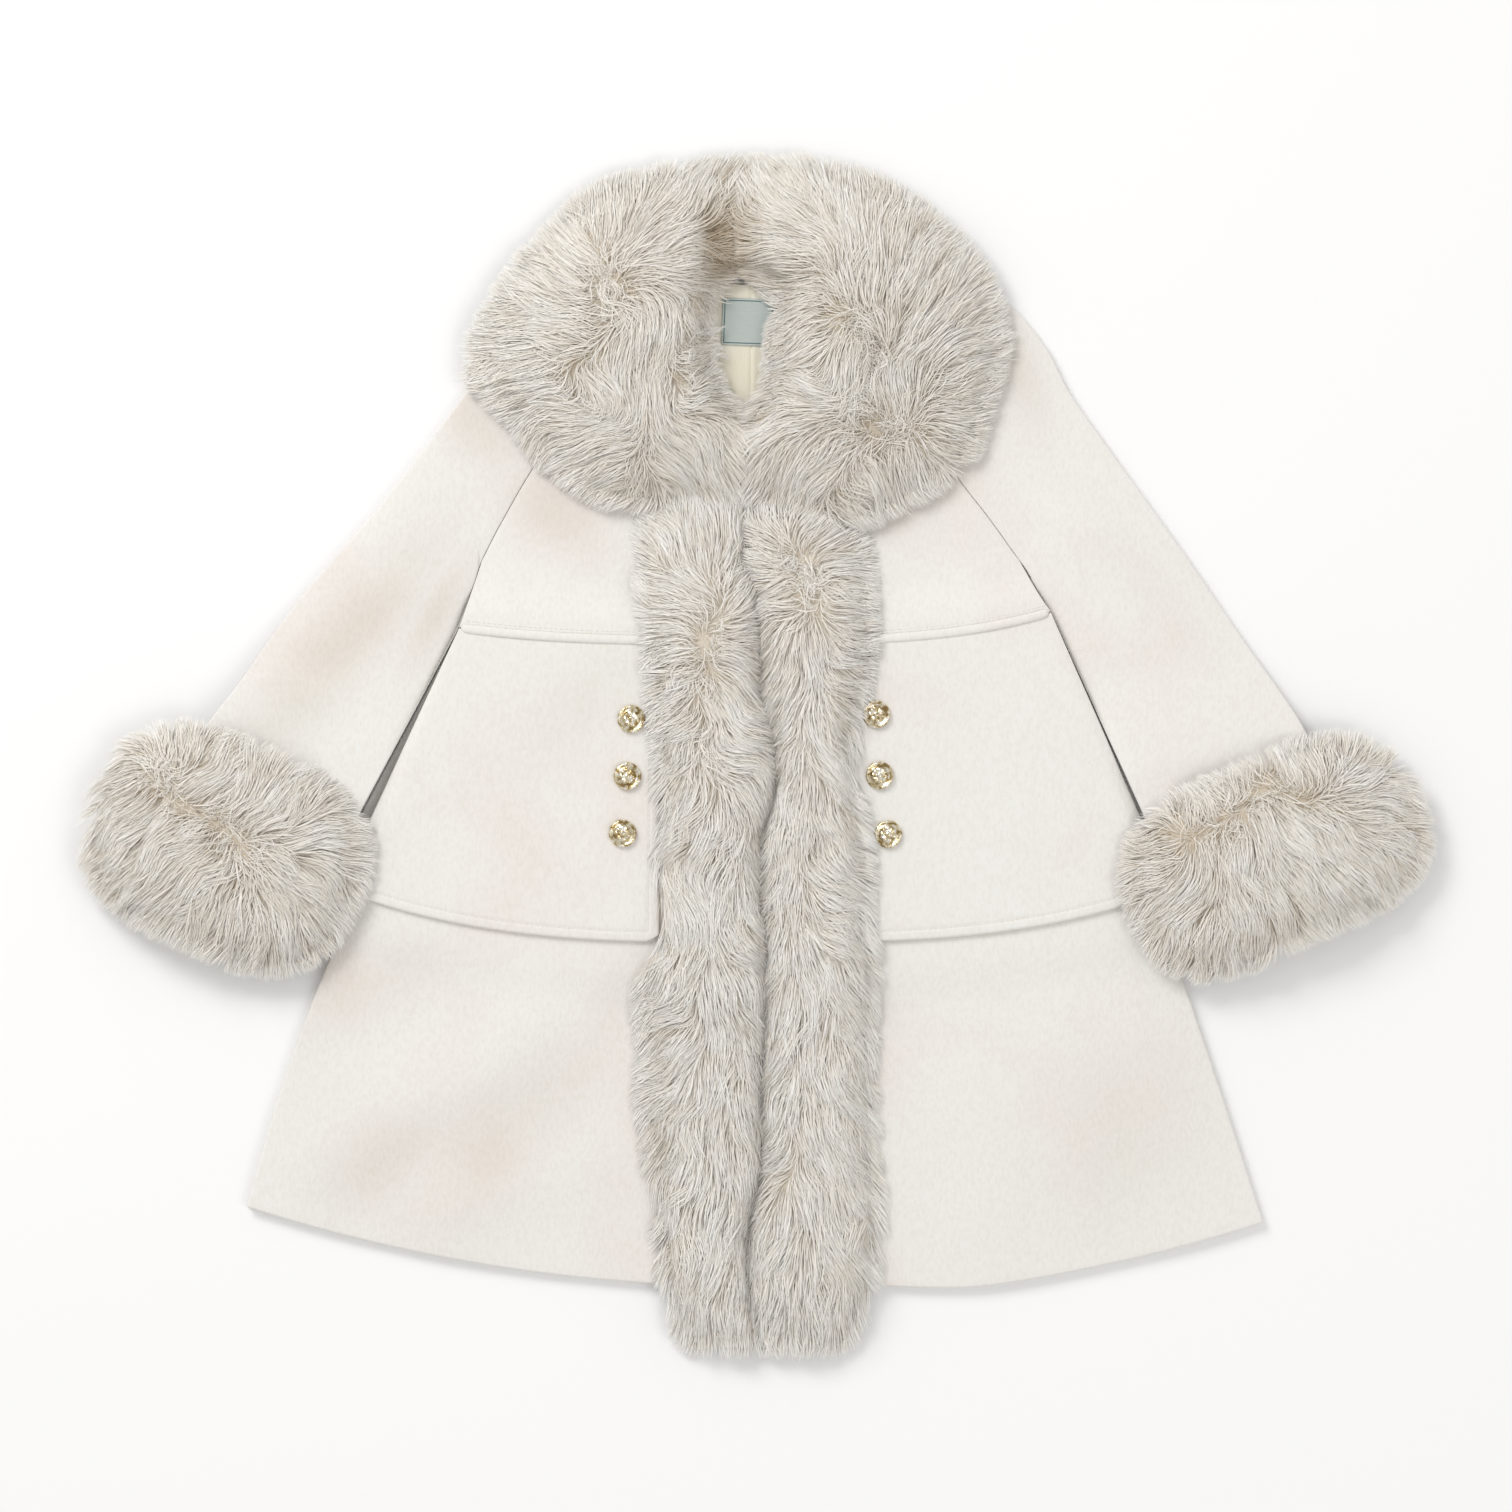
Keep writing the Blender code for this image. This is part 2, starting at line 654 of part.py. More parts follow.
def cuff_under_rings(side):
    """Lower fur of a cuff, pressed flat on the floor under the sleeve and clear of the coat's side."""
    rings = []
    for k in range(CUFF_UNDER_STEPS + 1):
        reach = mix(-0.93, 0.93, k / CUFF_UNDER_STEPS)
        along = CUFF[side].half_along * reach
        outer = cuff_half(side, reach)
        inner = SLEEVE_END_HALF + 2
        step = min(SLEEVE_END_HALF, outer - 4)
        beside = CUFF_PARTING if outer > CUFF_WIDE_AT else CUFF_UNDER
        top = [
            (-inner, CUFF_UNDER * 0.7),
            (-inner + 4, CUFF_UNDER),
            (0, CUFF_UNDER),
            (step, CUFF_UNDER),
            (step + 1.6, beside),
            (outer - 1, beside),
            (outer, beside * 0.6),
        ]
        floor = [(outer - 5, 0.0), (0, 0.0), (-inner + 5, 0.0)]
        rings.append([(*cuff_point(side, a, along), z) for a, z in top + floor])
    return rings


def button(name, x, y, finish, collection):
    """A turned metal button: a rolled rim round a dome with a small boss."""
    base = 3 * LAYER + WALL + SEAM
    profile = [
        (0.0, 5.2),
        (0.16, 5.0),
        (0.30, 4.1),
        (0.62, 3.5),
        (0.78, 2.2),
        (0.90, 2.7),
        (1.0, 1.9),
        (0.86, 0.0),
        (0.0, 0.0),
    ]
    outline = bmesh.new()
    points = [outline.verts.new((share * BUTTON_RADIUS * MM, 0, z * MM)) for share, z in profile]
    for here, after in zip(points, points[1:]):
        outline.edges.new((here, after))
    mesh = bpy.data.meshes.new(name)
    outline.to_mesh(mesh)
    outline.free()
    made = add_object(name, mesh, finish, collection)
    made.location = metres(x, y, base)
    turn = made.modifiers.new("Turn", "SCREW")
    turn.steps = turn.render_steps = 16
    turn.use_merge_vertices = True
    turn.merge_threshold = 0.00001
    turn.use_smooth_shade = True


def main():
    for old in list(bpy.data.objects):
        bpy.data.objects.remove(old)
    coat = bpy.data.collections.new("wool coat with fur trim")
    bpy.context.scene.collection.children.link(coat)

    wool = material("cream wool", (0.86, 0.84, 0.79), 0.9)
    fur = material("greige fur", (0.64, 0.59, 0.51), 0.95)
    satin = material("ivory lining", (0.80, 0.75, 0.58), 0.45)
    tape = material("pale green label", (0.52, 0.60, 0.57), 0.7)
    gold = material("gold", (0.80, 0.60, 0.26), 0.2, 1.0)

    panel("back_tier", 20, 1, tier_back, wool, coat)
    panel("back_skirt", 20, SKIRT_ROWS, skirt_back, wool, coat)
    panel("back_bodice", 12, SIDE_ROWS + RAGLAN_ROWS + 1, bodice_back, wool, coat)
    panel("neck_lining", 6, 5, neck_lining, satin, coat, LINING_WALL)
    panel("label", 1, 1, label, tape, coat, LABEL_SIZE[2])
    for side in SIDES:
        panel(f"front_skirt_{side}", 12, SKIRT_ROWS, skirt_front(side), wool, coat)
        panel(f"front_tier_{side}", TIER_COLUMNS, 4, tier_front(side), wool, coat)
        panel(f"front_bodice_{side}", 8, SIDE_ROWS + RAGLAN_ROWS, bodice_front(side), wool, coat)
        panel(f"sleeve_back_{side}", 4, SLEEVE_ROWS, sleeve_back(side), wool, coat)
        panel(f"sleeve_front_{side}", 8, SLEEVE_ROWS, sleeve_front(side), wool, coat)
        shape = under_collar(side)
        panel(f"under_collar_{side}", COLLAR_STEPS, COLLAR_ACROSS, shape, wool, coat, UNDER_COLLAR_WALL)
        loft(f"waist_welt_{side}", welt_rings(side), wool, coat)
        loft(f"fur_collar_{side}", collar_rings(side), fur, coat, paired=True)
        loft(f"fur_band_{side}", band_rings(side), fur, coat, paired=True)
        loft(f"fur_cuff_{side}", cuff_top_rings(side), fur, coat)
        loft(f"fur_cuff_under_{side}", cuff_under_rings(side), fur, coat)
        for number, (x, y) in enumerate(BUTTONS[side], 1):
            button(f"button_{side}_{number}", x, y, gold, coat)


main()
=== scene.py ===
"""Looks of a child's cream wool coat with a fur collar, fur front bands and fur cuffs, laid flat.

Sizes are in millimetres, in the frame of the coat: +X to the viewer's right, +Y from hem to collar and
+Z up from the surface that the coat lies on. A mesh becomes metres where it is made.
"""

import math

import bpy
import numpy as np
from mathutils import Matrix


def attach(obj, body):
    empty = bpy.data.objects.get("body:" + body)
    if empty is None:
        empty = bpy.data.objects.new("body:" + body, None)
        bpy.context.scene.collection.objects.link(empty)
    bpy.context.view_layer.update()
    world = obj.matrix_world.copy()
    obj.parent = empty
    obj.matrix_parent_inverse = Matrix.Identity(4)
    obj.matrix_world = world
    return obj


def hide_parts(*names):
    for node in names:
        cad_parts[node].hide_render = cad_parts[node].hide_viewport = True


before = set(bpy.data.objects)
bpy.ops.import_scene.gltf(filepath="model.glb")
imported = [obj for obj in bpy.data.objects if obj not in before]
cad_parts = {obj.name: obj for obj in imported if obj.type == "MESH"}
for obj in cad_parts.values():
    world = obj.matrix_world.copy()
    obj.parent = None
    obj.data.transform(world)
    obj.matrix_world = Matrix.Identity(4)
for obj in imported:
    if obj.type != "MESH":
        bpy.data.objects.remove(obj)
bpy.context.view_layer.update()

# The back of the coat is three cut panels of thick brushed wool. The skirt's back lies over the back of
# the tier, and the bodice joins them at the waist. Their edges are folded, so they are softly rounded.

MM = 0.001
MIDDLE_Y = 0.7  # the origin, in heights measured as on the cut pieces
SIDES = {"left": -1, "right": 1}
WALL = 2.5
SEAM = 0.3
LAYER = 3.1
CLEAR, FALL = 14.0, 30.0
WAIST_HALF, SKIRT_MID_HALF, TIER_HALF, HEM_HALF = 189.0, 255.0, 267.0, 325.0
BACK_TIER_SHOWS = {"left": 9.0, "right": 2.0}
SIDE_BULGE = {"left": 5.0, "right": 1.0}
WAIST_Y, WAIST_LIFT = 73.0, {"left": 8.3, "right": 18.5}
TIER_HEM_Y, TIER_HEM_RISE, TIER_RISE_AT = -120.0, 24.0, 237.0
HEM_Y, HEM_Y_RIGHT, HEM_RADIUS = -340.0, -350.0, 1061.0
HEM_STEP_FROM, HEM_STEP_OVER = 45.0, 110.0
TIER_FRONT_EDGE = {"left": 61.0, "right": 60.0}
TIER_SHARE = 0.45
RIM = 1.6  # how far in from an edge the cloth is rounded


def smooth(share):
    """0 below 0, 1 above 1, and a soft S between."""
    share = np.clip(share, 0.0, 1.0)
    return share * share * (3 - 2 * share)


def mix(a, b, share):
    return a + (b - a) * share


def waist_y(x):
    """The waist seam rises towards the side seams as the cube of the distance from the middle."""
    lift = np.where(x < 0, WAIST_LIFT["left"], WAIST_LIFT["right"])
    return WAIST_Y + lift * (np.abs(x) / WAIST_HALF) ** 3


def tier_hem_y(x):
    return TIER_HEM_Y + TIER_HEM_RISE * (np.abs(x) / TIER_RISE_AT) ** 3


def hem_y(x):
    """An arc of a circle, a little lower on the right."""
    level = mix(HEM_Y, HEM_Y_RIGHT, smooth((x - HEM_STEP_FROM) / HEM_STEP_OVER))
    return level + HEM_RADIUS - np.sqrt(HEM_RADIUS**2 - x * x)


def stations(count, length, rim=RIM):
    """Shares of a length, evenly spaced but for a few close ones that round each edge."""
    near = rim * (1 - np.cos(np.radians([0, 35, 65, 90]))) / length
    middle = np.linspace(near[-1], 1 - near[-1], count)
    return np.concatenate([near[:-1], middle, (1 - near[:-1])[::-1]])


PAINTED_SHADE_ZONES = [  # x, y, half length, half width, angle in degrees and depth, where painted shade lies warm on the wool
    (-262, 73, 84, 24, 48, 0.9), (-204, 90, 40, 12, 62, 0.8), (-177, 209, 34, 20, -50, 0.7),
    (-132, 156, 44, 20, -35, 0.6), (-116, 29, 62, 28, 40, 0.35), (-244, -259, 44, 28, 40, 0.6),
    (-250, -150, 60, 22, 25, 0.5), (-158, -245, 84, 30, 48, 0.55), (-90, -160, 36, 18, 60, 0.4),
    (234, -235, 72, 48, 60, 0.5), (92, 160, 40, 18, 35, 0.5), (168, 250, 42, 14, -70, 0.7),
    (250, 110, 60, 16, -52, 0.25),
]


def painted_shade(x, y):
    """How deep the painted shade lies: the greatest of soft oval hills, each the exponential of minus the
    squared share of its halves.
    """
    hills = []
    for x0, y0, length, width, angle, depth in PAINTED_SHADE_ZONES:
        turn = math.radians(angle)
        along = (x - x0) * math.cos(turn) + (y - y0) * math.sin(turn)
        across = (y - y0) * math.cos(turn) - (x - x0) * math.sin(turn)
        hills.append(depth * np.exp(-((along / length) ** 2) - (across / width) ** 2))
    return np.max(hills, axis=0)


def put_mesh(name, points, groups, finish, slot):
    """A mesh object from points in millimetres and arrays of faces, one array for each number of
    corners, shaded smooth. Wool also gets its painted shade."""
    mesh = bpy.data.meshes.new(name)
    groups = [np.asarray(group, dtype=np.int32) for group in groups]
    sizes = np.concatenate([np.full(len(group), group.shape[1]) for group in groups])
    corners = np.concatenate([group.ravel() for group in groups])
    mesh.vertices.add(len(points))
    mesh.vertices.foreach_set("co", ((points - [0.0, MIDDLE_Y, 0.0]) * MM).astype(np.float32).ravel())
    mesh.loops.add(len(corners))
    mesh.loops.foreach_set("vertex_index", corners)
    mesh.polygons.add(len(sizes))
    mesh.polygons.foreach_set("loop_start", (np.cumsum(sizes) - sizes).astype(np.int32))
    mesh.update(calc_edges=True)
    mesh.shade_smooth()
    mesh.materials.append(finish)
    piece = bpy.data.objects.new(name, mesh)
    if slot == "cream_wool":
        # Painted shade: soft warm patches where the wool's folds turn from the light, kept at each point.
        put_values(piece, "painted_shade", painted_shade(points[:, 0], points[:, 1]))
    bpy.context.scene.collection.objects.link(piece)
    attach(piece, "root")
    return piece


def put_values(piece, name, values):
    attribute = piece.data.attributes.new(name, "FLOAT", "POINT")
    attribute.data.foreach_set("value", values.astype(np.float32))


def quads_of(grid):
    """The faces between the rows and columns of a grid of point numbers."""
    return np.stack([grid[:-1, :-1], grid[:-1, 1:], grid[1:, 1:], grid[1:, :-1]], axis=-1).reshape(-1, 4)


def shell_mesh(place, across, down):
    """Points and faces of a closed shell. place(s, t) gives x, y and the lower and upper z at every pair
    of shares; on the border the two meet half way, so top and bottom share one rim."""
    s, t = np.meshgrid(across, down)
    x, y, low, high = place(s, t)
    rim = np.zeros(s.shape, bool)
    rim[[0, -1], :] = rim[:, [0, -1]] = True
    top = np.stack([x, y, np.where(rim, (low + high) / 2, high)], axis=-1).reshape(-1, 3)
    bottom = np.stack([x, y, low], axis=-1).reshape(-1, 3)
    index = np.arange(s.size).reshape(s.shape)
    under = index.copy()
    under[~rim] = s.size + np.arange((~rim).sum())
    points = np.concatenate([top, bottom[~rim.ravel()]])
    upper, lower = quads_of(index), quads_of(under)[:, ::-1]
    a, b, c = (points[upper[:, k]] for k in (0, 1, 2))
    if np.cross(b - a, c - a)[:, 2].sum() < 0:
        upper, lower = upper[:, ::-1], lower[:, ::-1]
    return points, np.concatenate([upper, lower])


def shell(name, place, across, down, finish, slot="cream_wool"):
    points, faces = shell_mesh(place, across, down)
    return put_mesh(name, points, [faces], finish, slot)


def rounded(s, t, low, width, height, wall=WALL, rim=RIM):
    """Lower and upper z of a cloth wall whose edges are rounded as a quarter circle within the rim."""
    away = np.minimum(np.minimum(s, 1 - s) * width, np.minimum(t, 1 - t) * height)
    swell = np.sqrt(np.clip(1 - (1 - np.clip(away / rim, 0, 1)) ** 2, 0, 1))
    middle = low + wall / 2
    return middle - wall / 2 * swell, middle + wall / 2 * swell


def undulate(x, y, size, seed):
    """Slow uneven waves between 0 and 1, as cloth has where nothing presses it flat."""
    wave = np.random.default_rng(seed)
    total = np.zeros_like(x)
    for _ in range(6):
        angle, phase, stretch = wave.uniform(0, math.tau), wave.uniform(0, math.tau), wave.uniform(0.6, 1.5)
        total += np.sin((x * math.cos(angle) + y * math.sin(angle)) * stretch * math.tau / size + phase)
    return 0.5 + total / 12


def colour_of(hexadecimal):
    """A linear colour from the usual six digits."""
    parts = [int(hexadecimal[k : k + 2], 16) / 255 for k in (0, 2, 4)]
    return [p / 12.92 if p <= 0.04045 else ((p + 0.055) / 1.055) ** 2.4 for p in parts] + [1.0]


def new_finish(name, roughness):
    finish = bpy.data.materials.new(name)
    finish.use_nodes = True
    nodes, links = finish.node_tree.nodes, finish.node_tree.links
    shader = nodes["Principled BSDF"]
    shader.inputs["Roughness"].default_value = roughness
    return finish, nodes, links, shader


def noise(nodes, links, scale, detail=3.0, stretch=None):
    """Noise on Object coordinates, with its scale in features for each metre."""
    place = nodes.new("ShaderNodeTexCoord")
    texture = nodes.new("ShaderNodeTexNoise")
    texture.inputs["Scale"].default_value = scale
    texture.inputs["Detail"].default_value = detail
    source = place.outputs["Object"]
    if stretch:
        mapping = nodes.new("ShaderNodeMapping")
        mapping.inputs["Scale"].default_value = stretch
        links.new(source, mapping.inputs["Vector"])
        source = mapping.outputs["Vector"]
    links.new(source, texture.inputs["Vector"])
    return texture.outputs["Fac"]


def ramp(nodes, links, source, stops):
    """A colour ramp over a value, from pairs of place and colour."""
    node = nodes.new("ShaderNodeValToRGB")
    elements = node.color_ramp.elements
    while len(elements) < len(stops):
        elements.new(0.5)
    for element, (place, colour) in zip(elements, stops):
        element.position = place
        element.color = colour_of(colour)
    links.new(source, node.inputs["Fac"])
    return node.outputs["Color"]


def bump(nodes, links, shader, layers):
    """Bump from pairs of height source and depth in metres, one on top of the other."""
    normal = None
    for source, depth in layers:
        node = nodes.new("ShaderNodeBump")
        node.inputs["Distance"].default_value = depth
        links.new(source, node.inputs["Height"])
        if normal:
            links.new(normal, node.inputs["Normal"])
        normal = node.outputs["Normal"]
    links.new(normal, shader.inputs["Normal"])


def multiplied(nodes, links, a, b):
    node = nodes.new("ShaderNodeMix")
    node.data_type = "RGBA"
    node.blend_type = "MULTIPLY"
    node.inputs["Factor"].default_value = 1.0
    links.new(a, node.inputs["A"])
    links.new(b, node.inputs["B"])
    return node.outputs["Result"]


def own_value(nodes, name):
    """The value that a piece carries at each of its points under this name."""
    node = nodes.new("ShaderNodeAttribute")
    node.attribute_name = name
    return node.outputs["Fac"]


def brushed_wool():
    """Cream wool with a raised nap: soft cloudy tone, short felted fibres, a faint sheen, and painted shade
    in soft warm patches.
    """
    finish, nodes, links, shader = new_finish("brushed cream wool", 0.95)
    cloud = noise(nodes, links, 9, 2)
    fibre = noise(nodes, links, 520, 4, (1.0, 0.45, 1.0))
    felt = noise(nodes, links, 260, 3)
    cream = ramp(nodes, links, cloud, [(0.3, "eee8e2"), (0.5, "f1eeea"), (0.72, "f0efea")])
    napped = multiplied(nodes, links, cream, ramp(nodes, links, fibre, [(0.3, "f9f8f6"), (0.6, "ffffff")]))
    # Painted shade: the wool is tinted warmer and darker in those patches.
    painted_shade_tint = ramp(nodes, links, own_value(nodes, "painted_shade"), [(0.0, "ffffff"), (1.0, "f0ebe5")])
    links.new(multiplied(nodes, links, napped, painted_shade_tint), shader.inputs["Base Color"])
    shader.inputs["Sheen Weight"].default_value = 0.25
    shader.inputs["Sheen Roughness"].default_value = 0.6
    shader.inputs["Specular IOR Level"].default_value = 0.15
    bump(nodes, links, shader, [(felt, 0.0002), (fibre, 0.0002)])
    return finish


wool = brushed_wool()


def flared(s, t, half_top, half_mid, half_hem, inner=0.0):
    """A point of a flared panel. s runs from inner at 0 to the side seam at 1, its sign giving the side;
    t runs from the waist to the tier's hem at TIER_SHARE and on to the coat's hem at 1."""
    side = np.where(np.signbit(s), -1.0, 1.0)
    upper = t <= TIER_SHARE
    down = np.where(upper, t / TIER_SHARE, (t - TIER_SHARE) / (1 - TIER_SHARE))
    x_top = side * mix(inner, np.where(upper, half_top, half_mid), np.abs(s))
    x_low = side * mix(inner, np.where(upper, half_mid, half_hem), np.abs(s))
    y_top = np.where(upper, waist_y(x_top), tier_hem_y(x_top)) - SEAM
    y_low = np.where(upper, tier_hem_y(x_low), hem_y(x_low))
    bulge = np.where(side < 0, SIDE_BULGE["left"], SIDE_BULGE["right"])
    x = mix(x_top, x_low, down) + np.where(upper, 0, side * bulge * s * s * np.sin(np.pi * down))
    return x, mix(y_top, y_low, down)


def falling(distance):
    """1 over what a piece lies on, falling to 0 once it is well past the edge."""
    return 1 - smooth((distance - CLEAR) / FALL)


def skirt_back_z(x, y):
    return LAYER * falling(tier_hem_y(x) - y)


def back_tier(s, t):
    s = 2 * s - 1
    half = TIER_HALF + np.where(s < 0, BACK_TIER_SHOWS["left"], BACK_TIER_SHOWS["right"])
    x, y = flared(s, t * TIER_SHARE, WAIST_HALF, half, HEM_HALF)
    return x, y, *rounded((s + 1) / 2, t, 0.0, 480, 200)


def back_skirt(s, t):
    x, y = flared(2 * s - 1, t, WAIST_HALF - 2, SKIRT_MID_HALF, HEM_HALF)
    return x, y, *rounded(s, t, skirt_back_z(x, y), 520, 420)


SLEEVE = {  # evenly spaced down the sleeve: outer edge x and y, inner edge x and y
    "left": [
        (70, 302, 69, 286), (112, 298, 102, 238), (148, 275, 139, 188), (166, 253, 161, 151),
        (180, 237, 174, 126), (212, 195, 184, 104), (251, 146, 202, 78), (294, 96, 217, 42),
        (328, 48, 233, 4), (354, 12, 252, -28), (378, -45, 287, -86), (402, -101, 311, -141),
    ],
    "right": [
        (70, 302, 67, 286), (118, 303, 93, 238), (160, 289, 122, 188), (185, 262, 150, 151),
        (201, 232, 168, 126), (227, 195, 190, 97), (273, 131, 209, 60), (312, 74, 224, 28),
        (342, 31, 237, -4), (357, 4, 253, -28), (378, -45, 287, -86), (398, -93, 308, -134),
    ],
}
ARMPIT_SHARE = 12 / 33
SIDE_SHARE = 0.25  # of the bodice's edge, the part that is side seam


def through(values, share):
    """A smooth curve through evenly spaced values (Catmull-Rom)."""
    values = np.asarray(values, float)
    place = np.clip(share * (len(values) - 1), 0, len(values) - 1.000001)
    i = place.astype(int)
    t = place - i
    a, b, c, d = (values[np.clip(i + k, 0, len(values) - 1)] for k in (-1, 0, 1, 2))
    return 0.5 * (2 * b + (c - a) * t + (2 * a - 5 * b + 4 * c - d) * t**2 + (3 * b - a - 3 * c + d) * t**3)


def sleeve_point(side, s, t):
    """A point of a flat sleeve, s from its outer to its inner edge and t from the neck to the wrist."""
    outer_x, outer_y, inner_x, inner_y = (through(column, t) for column in zip(*SLEEVE[side]))
    return SIDES[side] * mix(outer_x, inner_x, s), mix(outer_y, inner_y, s)


def bodice_edge(side, t):
    """Half width and height of the bodice: up the side seam, then up the raglan seam to the neck."""
    one = np.ones(1)
    armpit_x, armpit_y = sleeve_point(side, one, one * ARMPIT_SHARE)
    up = np.clip(t / SIDE_SHARE, 0, 1)
    seam_x, seam_y = sleeve_point(side, np.ones_like(t), ARMPIT_SHARE * (1 - t) / (1 - SIDE_SHARE))
    low = t < SIDE_SHARE
    half = np.where(low, mix(WAIST_HALF, np.abs(armpit_x), up), np.abs(seam_x) - 1.4 * SEAM)
    return half, np.where(low, mix(WAIST_Y + WAIST_LIFT[side], armpit_y, up), seam_y)


def back_bodice(s, t):
    left, left_y = bodice_edge("left", t)
    right, right_y = bodice_edge("right", t)
    x, y = mix(-left, right, s), mix(left_y, right_y, s)
    ends = mix(waist_y(np.full_like(s, -WAIST_HALF)), waist_y(np.full_like(s, WAIST_HALF)), s)
    y = y + SEAM + (waist_y(x) - ends) * (1 - smooth(t * 4)) + 17 * smooth((t - 0.93) / 0.07)
    return x, y, *rounded(s, t, 0.0, 300, 220)


for name, place, columns, rows in (
    ("wool_back_tier", back_tier, 40, 12), ("wool_back_skirt", back_skirt, 50, 34),
    ("wool_back_bodice", back_bodice, 36, 24),
):
    piece = shell(name, place, stations(columns, 500), stations(rows, 300), wool)
    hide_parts(name.replace("wool_", ""))

# The front skirt is two panels that meet under the fur. It lies on the back skirt and shows below the
# tier, with long shallow folds that fan from the tier's hem towards the side seam.

SKIRT_FOLDS = [  # x0, y0, x1, y1, half width, height
    (-110, -165, -255, -235, 30, 3.0), (-95, -255, -215, -300, 26, 2.6),
    (-160, -200, -290, -270, 22, 1.8), (118, -190, 160, -320, 28, 2.4), (225, -160, 285, -270, 26, 2.2),
    (180, -150, 225, -300, 20, 1.6),
]


def fold_height(x, y, folds):
    """Rounded banks, each a bell across its line, dying away at both ends."""
    total = np.zeros_like(x)
    for x0, y0, x1, y1, half_width, height in folds:
        run_x, run_y = x1 - x0, y1 - y0
        length = math.hypot(run_x, run_y)
        along = ((x - x0) * run_x + (y - y0) * run_y) / length**2
        away = ((x - x0) * run_y - (y - y0) * run_x) / length
        total += height * np.exp(-((away / half_width) ** 2)) * smooth(1.4 - np.abs(2 * along - 1))
    return total


def front_skirt(side):
    def place(s, t):
        x, y = flared(s * SIDES[side], t, WAIST_HALF - 2, SKIRT_MID_HALF, HEM_HALF, 1.0)
        free = smooth((tier_hem_y(x) - y - CLEAR) / FALL)
        low = skirt_back_z(x, y) + LAYER + fold_height(x, y, SKIRT_FOLDS) * free
        low = low + 1.2 * undulate(x, y, 150, 11) * free
        return x, y, *rounded(s, t, low, 290, 420)

    return place


for side in SIDES:
    piece = shell(f"wool_skirt_{side}", front_skirt(side), stations(64, 290), stations(80, 420), wool)
    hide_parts(f"front_skirt_{side}")

# The tier is a second, shorter skirt sewn in at the waist. Its hem and front edge are folded under and
# topstitched, so a low ridge runs along them, and it lies free on the skirt.

TIER_WIDTH, TIER_LENGTH = 190.0, 195.0
HEM_FOLD = 6.5  # from the edge to the stitching
HEM_RIM, CORNER = 2.2, 9.0


def tier_place(side, s, t):
    """s runs from the front edge to the side, and the last tenth rolls down off the skirt's side."""
    share = np.minimum(s / 0.9, 1.0)
    rolled = np.clip((s - 0.9) / 0.1, 0, 1)
    top = mix(WAIST_HALF - 2.5, WAIST_HALF, rolled)
    low = mix(SKIRT_MID_HALF + 1, TIER_HALF, rolled)
    x, y = flared(share * SIDES[side], t * TIER_SHARE, top, low, HEM_HALF, TIER_FRONT_EDGE[side])
    z = 3 * LAYER - (TIER_HALF - SKIRT_MID_HALF) / 2 * t * rolled**1.4
    return x, y, z


def groove(distance, at, half_width, depth):
    """A sewn channel: a soft trough where the distance is near a line."""
    return -depth * np.exp(-(((distance - at) / half_width) ** 2))


def front_tier(side):
    def place(s, t):
        x, y, z = tier_place(side, s, t)
        across, up = s * TIER_WIDTH, (1 - t) * TIER_LENGTH
        y = y + 0.6 * CORNER * np.clip(1 - across / CORNER, 0, 1) ** 2 * np.clip(1 - up / CORNER, 0, 1) ** 2
        low, high = rounded(s, t, z, TIER_WIDTH, TIER_LENGTH, rim=HEM_RIM)
        from_fold = np.minimum(across, up)
        free = smooth(from_fold / 12)
        high = high + 0.35 * (1 - free) + groove(from_fold, HEM_FOLD, 0.9, 0.45)
        high = high + 1.1 * undulate(x, y, 130, 5) * free
        return x, y, low, np.maximum(high, low)

    return place


def dense_near(values, places, spread, count):
    """The same shares with more of them close to some places, for a fine feature there."""
    extra = [np.linspace(place - spread, place + spread, count) for place in places]
    merged = np.unique(np.round(np.concatenate([values, *extra]), 5))
    return merged[(merged >= 0) & (merged <= 1)]


for side in SIDES:
    across, down = stations(48, TIER_WIDTH, HEM_RIM), stations(48, TIER_LENGTH, HEM_RIM)
    across = dense_near(across, [HEM_FOLD / TIER_WIDTH], 2.4 / TIER_WIDTH, 7)
    down = dense_near(down, [1 - HEM_FOLD / TIER_LENGTH], 2.4 / TIER_LENGTH, 7)
    piece = shell(f"wool_tier_{side}", front_tier(side), across, down, wool)
    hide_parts(f"front_tier_{side}")

# The bodice fronts run up to the neck and to the raglan seams. They come down over the tier's top, and
# the lapped waist seam is a narrow padded welt.

FRONT_NECK_Y, SIDE_NECK_Y, NECK_HALF, BACK_NECK_Y = 205.0, 285.0, 64.0, 303.0
BODICE_WIDTH, BODICE_LENGTH = 150.0, 215.0
WAIST_CLEAR = 6.0
RAGLAN_RIM = 0.7  # the raglan seam is pressed flat, so its two edges are hardly rounded
BODICE_FOLDS = [
    (-172, 118, -120, 100, 9, 1.3), (-176, 122, -150, 88, 7, 1.0), (166, 122, 120, 108, 9, 1.2),
]


def bodice_front_z(x, y):
    return LAYER + 2 * LAYER * (1 - smooth((y - waist_y(x) - WAIST_CLEAR) / FALL))


def front_bodice(side):
    def place(s, t):
        half, y = bodice_edge(side, t)
        opening = np.clip((y - FRONT_NECK_Y) / (SIDE_NECK_Y - FRONT_NECK_Y), 0, 1)
        x = SIDES[side] * mix(1.0 + (NECK_HALF - 3.0) * opening, half, s)
        bend = waist_y(x) - (WAIST_Y + WAIST_LIFT[side])
        y = y + SEAM + bend * (1 - smooth(t * 4))
        low, high = rounded(s, t, bodice_front_z(x, y), BODICE_WIDTH, BODICE_LENGTH, rim=RAGLAN_RIM)
        free = smooth(np.minimum(s, 1 - s) * 12) * smooth(np.minimum(t, 1 - t) * 12)
        return x, y, low, high + (fold_height(x, y, BODICE_FOLDS) + 0.8 * undulate(x, y, 90, 8)) * free

    return place


WELT_HALF, WELT_HEIGHT = 2.9, 2.0


